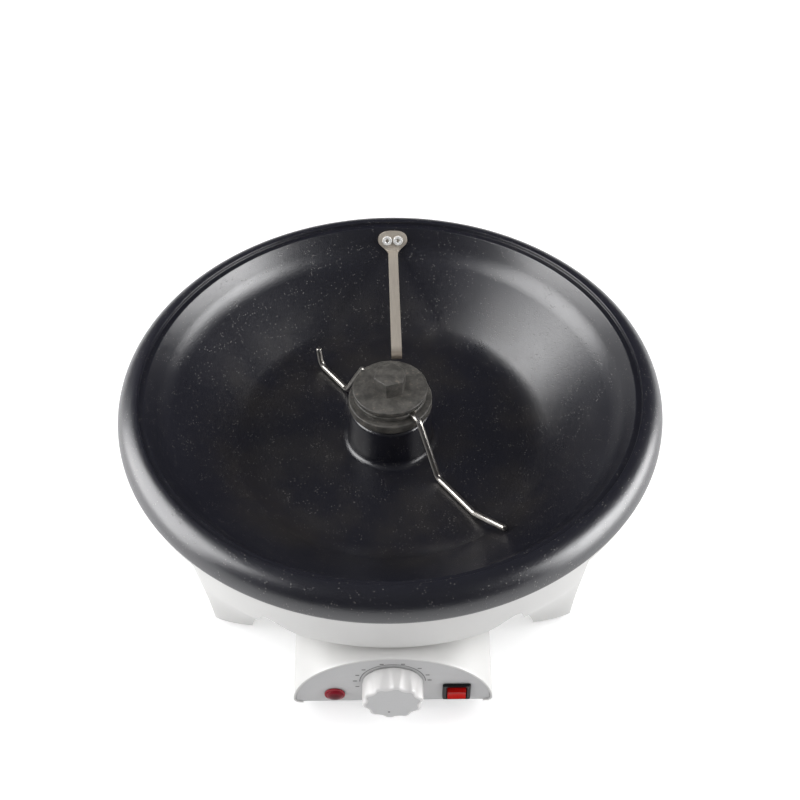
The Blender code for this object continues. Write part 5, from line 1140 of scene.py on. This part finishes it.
gloss_black = Finish("switch_black", ior=1.28)
fine = gloss_black.grain(1200, 2)
gloss_black.wear(colour=gloss_black.blend(fine, (0.007, 0.007, 0.008), (0.014, 0.014, 0.016)),
                 roughness=0.26 + 0.1 * fine, height=fine, bump=0.05, depth=0.0002)
frame_sheet = Sheet()
rows = [block_ring(box_w, box_h, box_corner, out) for out in (-box_deep, frame_seat)]
rows += [block_ring(switch_w - drawn, switch_h - drawn, corner, out)
         for drawn, corner, out in frame_steps]
rows += [block_ring(pocket_w + wider, pocket_h + wider, corner, out)
         for wider, corner, out in pocket_steps]
rows.append(block_ring(pocket_w, pocket_h, box_corner, switch_out - pocket_deep))
rings = frame_sheet.lay(rows, closed=True)
frame_sheet.cap(rings[0])
frame_sheet.cap(rings[-1])
frame_sheet.weld()
switch_piece = settled(new_object("switch_frame", frame_sheet.mesh("switch_frame")), 40)
fitted(switch_piece, gloss_black.material, "stand", "black_plastic", "switch_body")

rocker_w, rocker_h, rocker_out, rocker_dip, rocker_in = 0.0108, 0.0106, 0.0032, 0.0011, 0.004
rocker_tilt, rocker_sink = radians(8), 0.0005
red = Finish("rocker_red", ior=1.22, specular_ior_level=0.2)
at_rocker = red.place()
# Painted light and shade: the lower half of the rocker is coloured a brighter red than its upper
# half.
painted_lit_low_half = 1 - red.axis("Z", at_rocker).above(switch_z - 0.0003, switch_z + 0.0012)
fine = red.grain(900, 2)
red.wear(colour=red.blend(painted_lit_low_half, (0.42, 0.004, 0.003), (0.62, 0.006, 0.003)),
         roughness=0.27 + 0.08 * fine, height=fine, bump=0.05, depth=0.0002)
face = []
for k in range(17):
    share = k / 8 - 1
    face.append((share * rocker_h / 2, rocker_out - rocker_dip * (1 - share * share)))
outline = [(-rocker_h / 2, -rocker_in)] + face + [(rocker_h / 2, -rocker_in)]
rocker = Sheet()
rings = rocker.lay([[(switch_x + x, axis_y + panel_y - rocker_sink
                      - (out * cos(rocker_tilt) + up * sin(rocker_tilt)),
                      switch_z + up * cos(rocker_tilt) - out * sin(rocker_tilt))
                     for up, out in outline] for x in (-rocker_w / 2, rocker_w / 2)], closed=True)
rocker.cap(rings[0])
rocker.cap(rings[1])
rocker.weld()
rocker_piece = eased(new_object("rocker", rocker.mesh("rocker")), 0.0005, 3, 40)
fitted(settled(rocker_piece, 40), red.material, "rocker", "red_rocker", "switch_rocker")


# Pan: the round roasting pan, cast aluminium with a black non-stick coat. A turret in its middle
# carries the shaft, its wall ends in a stepped seat for a lid, and the rim flares over the stand.
# The coat has a fine sandy fleck and roast oil has dulled and browned it low down.

seat_z, seat_r, seat_w, crest_h, crest_w = 0.108, 0.155, 0.0036, 0.0026, 0.0008
flare_reach, flare_drop, pan_t = 0.0139, 0.0159, 0.0026
floor_z, floor_r, pan_round = 0.053, 0.0986, 0.030
bend_r, bend_z, bend_round = 0.1468, 0.0912, 0.035
seat_round, crest_foot_round, crest_lean, crest_round = 0.0010, 0.0004, 0.0002, 0.0006
lip_h, seat_back_r, seat_back_z = 0.0004, 0.1548, 0.1075
turret_z, turret_hole_r, turret_top_r, turret_base_r = 0.0818, 0.0065, 0.0262, 0.028
turret_edge, turret_foot = 0.0025, 0.005
pan_steps = 288
boss_r, boss_root_r, boss_z, boss_top_z, thread_z = 0.0050, 0.0056, 0.0400, 0.0510, 0.0480
thread_r = 0.0018
crest_z, flare_mid_r = seat_z + crest_h, seat_r + seat_w + crest_w
flare_z = crest_z - flare_drop
top_line = rounded([
    (turret_hole_r, turret_z, 0), (turret_top_r, turret_z, turret_edge),
    (turret_base_r, floor_z, turret_foot), (floor_r, floor_z, pan_round),
    (bend_r, bend_z, bend_round), (seat_r, seat_z, seat_round),
    (seat_r + seat_w, seat_z, crest_foot_round),
    (seat_r + seat_w + crest_lean, crest_z, crest_round), (flare_mid_r, crest_z, 0)], 14)
top_line += [(flare_mid_r + flare_reach * sin(a), flare_z + flare_drop * cos(a))
             for a in between(0.04, pi / 2, 24)]
lip = [(flare_mid_r + flare_reach - pan_t / 2 + pan_t / 2 * cos(a), flare_z - lip_h * sin(a))
       for a in between(0, pi, 8)]
under_line = [(flare_mid_r + (flare_reach - pan_t) * sin(a),
               flare_z + (flare_drop - pan_t) * cos(a)) for a in between(pi / 2, 0, 16)]
up = Vector((seat_r - bend_r, seat_z - bend_z)).normalized()
under_line += beside(rounded([
    (turret_hole_r, turret_z, 0), (turret_top_r, turret_z, pan_t),
    (turret_base_r, floor_z, turret_foot), (floor_r, floor_z, pan_round),
    (bend_r, bend_z, bend_round), (seat_back_r, seat_back_z, 0)], 14), pan_t)[::-1]
pan = turned_shape(top_line + lip + under_line, pan_steps, (0, axis_y, 0))
pan_body = settled(new_object("pan_body", pan.mesh("pan_body")), 60)
bosses = [pan_body]
for k in range(4):
    angle = pi / 4 + k * pi / 2
    boss = turned_shape([(thread_r, boss_z), (boss_r, boss_z), (boss_root_r, boss_top_z),
                         (0, boss_top_z), (0, thread_z), (thread_r, thread_z)], 32,
                        (boss_ring_r * cos(angle), axis_y + boss_ring_r * sin(angle), 0))
    bosses.append(settled(new_object("boss", boss.mesh("boss"))))
pan_piece = joined("pan", bosses)
pan_piece.data.set_sharp_from_angle(angle=radians(60))
coat = Finish("nonstick_coat", ior=1.8)
at_pan = coat.place()
up_wall = coat.axis("Z", at_pan)
cloud = coat.grain(22, 4, at_pan, 0.6)
fine = coat.grain(1500, 3, at_pan)
sand = coat.specks(520, 0.28, at_pan) * coat.grain(130, 2, at_pan).above(0.46, 0.60)
oiled = (1 - up_wall.above(floor_z + 0.004, floor_z + 0.034)) * cloud.above(0.35, 0.70)
black = coat.blend(cloud, (0.0070, 0.0072, 0.0120), (0.0120, 0.0124, 0.0200))
black = coat.blend(0.55 * oiled, black, (0.020, 0.016, 0.011))
black = coat.blend(0.75 * sand, black, (0.110, 0.105, 0.100))
coat.wear(colour=black, roughness=0.23 + 0.08 * cloud + 0.05 * fine + 0.10 * oiled,
          height=0.8 * fine + 0.8 * sand, bump=0.42, depth=0.00024)
fitted(pan_piece, coat.material, "stand", "pan_coating", "roasting_pan")


# Stirrer hub: a ring with a bead, a groove and a wide foot sits on the turret, and a disc with
# a hexagon head screws down on it. Glass-filled nylon, matt dark grey, mottled by dust and oil.

cap_z, cap_top_z, cap_r, cap_edge = 0.0965, 0.0995, 0.0242, 0.0007
head_overrun = 0.001
hex_side, hex_h, hex_turn, hex_ease = 0.0109, 0.0114, radians(-11), 0.0006
hub = Finish("hub_grey", ior=1.45)
at_hub = hub.place()
mottle, fine = hub.grain(160, 4, at_hub, 0.65), hub.grain(1300, 3, at_hub)
dust = hub.grain(420, 3, at_hub).above(0.56, 0.70) * mottle.above(0.45, 0.62)
hub_tone = hub.blend(mottle.above(0.28, 0.72), (0.046, 0.044, 0.040), (0.108, 0.102, 0.092))
hub_tone = hub.blend(0.55 * dust, hub_tone, (0.215, 0.180, 0.142))
hub.wear(colour=hub_tone, roughness=0.40 + 0.16 * mottle + 0.05 * fine,
         height=0.6 * fine + 0.4 * mottle, bump=0.38, depth=0.00035)
disc = turned_shape(rounded([
    (0, cap_z, 0), (cap_r, cap_z, cap_edge), (cap_r, cap_top_z, cap_edge),
    (hex_side + 0.0016, cap_top_z, 0), (hex_side * 0.5, cap_top_z, 0), (0, cap_top_z, 0),
    (0, cap_z + 0.0001, 0)], 5), 144, (0, axis_y, 0))
disc_object = settled(new_object("cap_disc", disc.mesh("cap_disc")))
head = bmesh.new()
bmesh.ops.create_cone(head, cap_ends=True, segments=6, radius1=hex_side, radius2=hex_side,
                      depth=hex_h + head_overrun, matrix=Matrix.Translation(
                          (0, axis_y, cap_top_z + (hex_h - head_overrun) / 2))
                      @ Matrix.Rotation(hex_turn, 4, "Z"))
head_mesh = bpy.data.meshes.new("cap_head")
head.to_mesh(head_mesh)
head.free()
head_object = settled(eased(new_object("cap_head", head_mesh), hex_ease, 4))
fitted(joined("hub_cap", [disc_object, head_object]), hub.material, "stirrer", "hub_plastic",
       "stirrer_cap")

collar_top_z, collar_z, shaft_hole_r = 0.0962, 0.0834, 0.0043
neck_r, bead_r, groove_r, ring_r, hub_foot_r = 0.0215, 0.0236, 0.0222, 0.0272, 0.0205
neck_h, bead_h, groove_h, hub_foot_h = 0.0014, 0.003, 0.0015, 0.0006
hub_round, hub_ease, hub_foot_ease = 0.0009, 0.0003, 0.0002
neck_z = collar_top_z - neck_h
bead_z = neck_z - bead_h
groove_z = bead_z - groove_h
hub_foot_z = collar_z + hub_foot_h
collar = turned_shape(rounded([
    (shaft_hole_r, collar_top_z, 0), (neck_r, collar_top_z, hub_ease), (neck_r, neck_z, hub_ease),
    (bead_r, neck_z, hub_round), (bead_r, bead_z, hub_round), (groove_r, bead_z, hub_ease),
    (groove_r, groove_z, hub_ease), (ring_r, groove_z, hub_round), (ring_r, hub_foot_z, hub_round),
    (hub_foot_r, hub_foot_z, hub_foot_ease), (hub_foot_r, collar_z, hub_foot_ease),
    (shaft_hole_r, collar_z, 0), (shaft_hole_r, collar_top_z - 0.0001, 0)], 6), 144,
    (0, axis_y, 0))
collar_piece = new_object("hub_collar", collar.mesh("hub_collar"))


# Stirrer arms: two 4 mm stainless wires that leave slots in the collar, drop to the pan's floor
# and sweep it. The front one reaches up the wall and the rear one ends in an upright tip.

arm_r, arm_z, arm_floor_z, arm_bend = 0.002, 0.0928, 0.0558, 0.006
arm_in_r, slot_in_r, slot_gap = 0.0175, 0.0171, 0.0004
arm_turn = radians(-53)
arm_lines = {
    "front": ((arm_in_r, arm_z), (0.030, arm_z), (0.0505, arm_floor_z), (0.0868, arm_floor_z),
              (0.1142, arm_floor_z + 0.0135)),
    "rear": ((arm_in_r, arm_z), (0.030, arm_z), (0.0505, arm_floor_z), (0.0818, arm_floor_z),
             (0.0838, arm_floor_z + 0.014))}


def wire(name, line, radius, turn, sides=24):
    """Round wire along a bent line in an upright plane, with rounded ends."""
    path = rounded([(*line[0], 0)] + [(*p, arm_bend) for p in line[1:-1]] + [(*line[-1], 0)], 10)
    body = Sheet()
    places = []
    for i, point in enumerate(path):
        before, after = Vector(path[max(i - 1, 0)]), Vector(path[min(i + 1, len(path) - 1)])
        places.append((Vector(point), (after - before).normalized(), radius))
    (start, way, _), (end, last_way, _) = places[0], places[-1]
    for k in range(1, 6):
        swell = pi / 2 * k / 6
        places.insert(0, (start - way * radius * 0.5 * sin(swell), way, radius * cos(swell)))
        places.append((end + last_way * radius * 0.5 * sin(swell), last_way,
                       radius * cos(swell)))
    rows = []
    for point, way, size in places:
        row = []
        for k in range(sides):
            a = 2 * pi * k / sides
            r = point.x - way.y * size * cos(a)
            row.append((r * cos(turn) - size * sin(a) * sin(turn),
                        axis_y + r * sin(turn) + size * sin(a) * cos(turn),
                        point.y + way.x * size * cos(a)))
        rows.append(row)
    rings = body.lay(rows, closed=True)
    body.cap(rings[0])
    body.cap(rings[-1])
    body.weld()
    return new_object(name, body.mesh(name))


wire_steel = Finish("wire_steel", metallic=1.0)
drawn = wire_steel.grain(150, 4)
heat = wire_steel.grain(28, 2)
wire_steel.wear(colour=wire_steel.blend(heat, (0.46, 0.43, 0.39), (0.66, 0.64, 0.60)),
                roughness=0.24 + 0.16 * drawn, height=drawn, bump=0.1, depth=0.0002)
for name, turn in (("front", arm_turn), ("rear", arm_turn + pi)):
    slot_line = ((slot_in_r, arm_z),) + arm_lines[name][1:3]
    cutter = wire("slot", slot_line, arm_r + slot_gap, turn)
    cut = collar_piece.modifiers.new("Slot", "BOOLEAN")
    cut.operation, cut.solver, cut.object = "DIFFERENCE", "EXACT", cutter
    settled(collar_piece, 40)
    bpy.data.objects.remove(cutter, do_unlink=True)
    arm = settled(wire("arm_" + name, arm_lines[name], arm_r, turn))
    fitted(arm, wire_steel.material, "stirrer", "stainless", "stirrer_arm_" + name)
fitted(collar_piece, hub.material, "stirrer", "hub_plastic", "stirrer_collar")


# Baffle strip: a stainless strip that keeps what is roasted from turning with the arms. Its wide
# head is riveted flat on the pan's wall, it bends over the pan at its neck and turns down by the
# hub. Cut from 1.4 mm sheet, dull and browned by heat in patches, and coloured darker towards its
# tip.

strip_x, tip_x, strip_w, strip_t, strip_gap = 0.0023, 0.0045, 0.0070, 0.0014, 0.0009
head_w, shoulder_l, head_l, flat_l, head_power = 0.0213, 0.0072, 0.0178, 0.0145, 2.6
head_clear, strip_z, tip_y, tip_drop, strip_bend = 0.0021, 0.0972, 0.0315, 0.003, 0.003
normal = Vector((-up.y, up.x))
head_top = Vector((seat_r, seat_z)) - up * head_clear + normal * (strip_gap + strip_t / 2)
head_foot = head_top - up * flat_l
strip_line = [Vector(p) for p in rounded([
    (*head_top, 0), (*head_foot, strip_bend), (tip_y, strip_z, strip_t),
    (tip_y, strip_z - tip_drop, 0)], 8)]


def strip_half(s):
    """Half the strip's width at a length from its head's edge, over the shoulder to the neck."""
    if s < shoulder_l:
        return head_w / 2 * (1 - (1 - s / shoulder_l) ** head_power) ** (1 / head_power)
    fall = min((s - shoulder_l) / (head_l - shoulder_l), 1)
    return strip_w / 2 + (head_w - strip_w) / 2 * (1 + cos(pi * fall)) / 2


lengths = [0]
for a, b in zip(strip_line, strip_line[1:]):
    lengths.append(lengths[-1] + (b - a).length)
stations = [shoulder_l * (1 - cos(pi / 2 * (k + 0.3) / 14)) for k in range(14)]
stations += between(shoulder_l, head_l, 20) + between(head_l, lengths[-4], 30)
stations += [s for s in lengths if s > shoulder_l]
strip = Sheet()
rows = []
for s in sorted(stations):
    i = max(k for k in range(len(lengths) - 1) if lengths[k] <= s + 0.000001)
    i = min(i, len(strip_line) - 2)
    way = (strip_line[i + 1] - strip_line[i]).normalized()
    middle = strip_line[i] + way * (s - lengths[i])
    lift = Vector((way.y, -way.x)) * strip_t / 2
    half = strip_half(s)
    x = strip_x + (tip_x - strip_x) * (head_top.x - middle.x) / (head_top.x - tip_y)
    rows.append([(x + side * half, axis_y + middle.x + face * lift.x,
                  middle.y + face * lift.y)
                 for side, face in ((-1, -1), (-0.5, -1), (0.5, -1), (1, -1), (1, 1), (0.5, 1),
                                    (-0.5, 1), (-1, 1))])
rings = strip.lay(rows, closed=True)
strip.cap(rings[0])
strip.cap(rings[-1])
strip.weld()
strip_piece = eased(new_object("strip", strip.mesh("strip")), 0.0002, 2, 45)
steel = Finish("strip_steel", metallic=0.55)
at_strip = steel.place()
rolled = steel.grain(90, 4, steel.place(stretch=(12, 1, 1)), 0.6)
stain = steel.grain(70, 3, at_strip)
# The strip's colour is darker towards its tip by the hub.
darker_at_tip = 1 - steel.axis("Y", at_strip).above(axis_y + tip_y - 0.001, axis_y + tip_y + 0.010)
strip_tone = steel.blend(rolled, (0.52, 0.470, 0.405), (0.74, 0.680, 0.590))
strip_tone = steel.blend(0.35 * stain, strip_tone, (0.44, 0.370, 0.290))
steel.wear(colour=steel.blend(0.7 * darker_at_tip, strip_tone, (0.20, 0.155, 0.115)),
           roughness=0.36 + 0.14 * rolled, height=rolled, bump=0.12, depth=0.0002)
fitted(settled(strip_piece), steel.material, "stand", "stainless", "baffle_strip")


# Rivets: two tubular steel rivets through the strip's head and the pan's wall, rolled over at
# both ends. Each ring is coloured near white, partly steel and partly a painted highlight, and its
# hole is painted dark as painted shade.

rivet_r, rivet_head_r, rivet_head_h, rivet_hole_r = 0.0015, 0.0036, 0.0014, 0.0012
rivet_pitch, rivet_deep, rivet_lift = 0.0079, 0.0042, 0.0003
rivet_spot = Vector((seat_r, seat_z)) - up * (head_clear + shoulder_l)
front_z, back_z = strip_gap + strip_t + rivet_lift, -pan_t - rivet_lift
rivet = turned_shape(
    [(rivet_hole_r, front_z - rivet_deep), (rivet_hole_r, front_z + rivet_head_h * 0.55)]
    + [(rivet_hole_r + (rivet_head_r - rivet_hole_r) * (1 - cos(a)) / 2,
        front_z + rivet_head_h * (0.55 + 0.45 * sin(a))) for a in between(0.3, pi * 0.8, 8)]
    + [(rivet_head_r, front_z + rivet_head_h * 0.3), (rivet_head_r - 0.0001, front_z),
       (rivet_r, front_z), (rivet_r, back_z), (rivet_head_r, back_z),
       (rivet_head_r, back_z - 0.0005), (rivet_head_r * 0.8, back_z - 0.0012),
       (rivet_head_r * 0.5, back_z - rivet_head_h), (0, back_z - rivet_head_h),
       (0, front_z - rivet_deep)], 48)
bright = Finish("rivet_steel", metallic=0.2)
at_rivet = bright.place()
aside = abs(abs(bright.axis("X", at_rivet) - strip_x) - rivet_pitch / 2)
along = (bright.axis("Y", at_rivet) - axis_y - rivet_spot.x) * up.x + (
    bright.axis("Z", at_rivet) - rivet_spot.y) * up.y
off_hole = (aside * aside + along * along) ** 0.5
worn = bright.grain(900, 3)
ring_tone_and_painted_highlight = bright.blend(worn, (0.84, 0.84, 0.82), (0.94, 0.94, 0.92))
# Painted shade and highlight: the hole is coloured nearly black and the ring around it near white.
bright.wear(colour=bright.blend(1 - off_hole.above(rivet_hole_r * 0.9, rivet_hole_r * 1.1),
                                ring_tone_and_painted_highlight, (0.02, 0.02, 0.02)),
            roughness=0.20 + 0.12 * worn, height=worn, bump=0.08, depth=0.0002)
rivets = Pattern("strip_rivets", Count=2, Pitch=rivet_pitch, Lean=(atan2(up.y, up.x), 0.0, 0.0),
                 Spot=(strip_x, axis_y + rivet_spot.x, rivet_spot.y))
pair = rivets.node("GeometryNodeMeshLine", {"mode": "END_POINTS"}, {
    "Count": rivets.size("Count"),
    "Start Location": rivets.node("ShaderNodeCombineXYZ", {}, {
        "X": rivets.size("Pitch") * -0.5}),
    "Offset": rivets.node("ShaderNodeCombineXYZ", {}, {"X": rivets.size("Pitch") * 0.5})})
copies = rivets.node("GeometryNodeInstanceOnPoints", {}, {"Points": pair,
                                                          "Instance": rivets.size()})
moved = rivets.node("GeometryNodeTransform", {}, {
    0: copies, "Rotation": rivets.size("Lean"), "Translation": rivets.size("Spot")})
fitted(rivets.grown("rivets", rivet.mesh("rivet"), moved, bright.material), bright.material,
       "stand", "stainless", "strip_rivet_left", "strip_rivet_right")
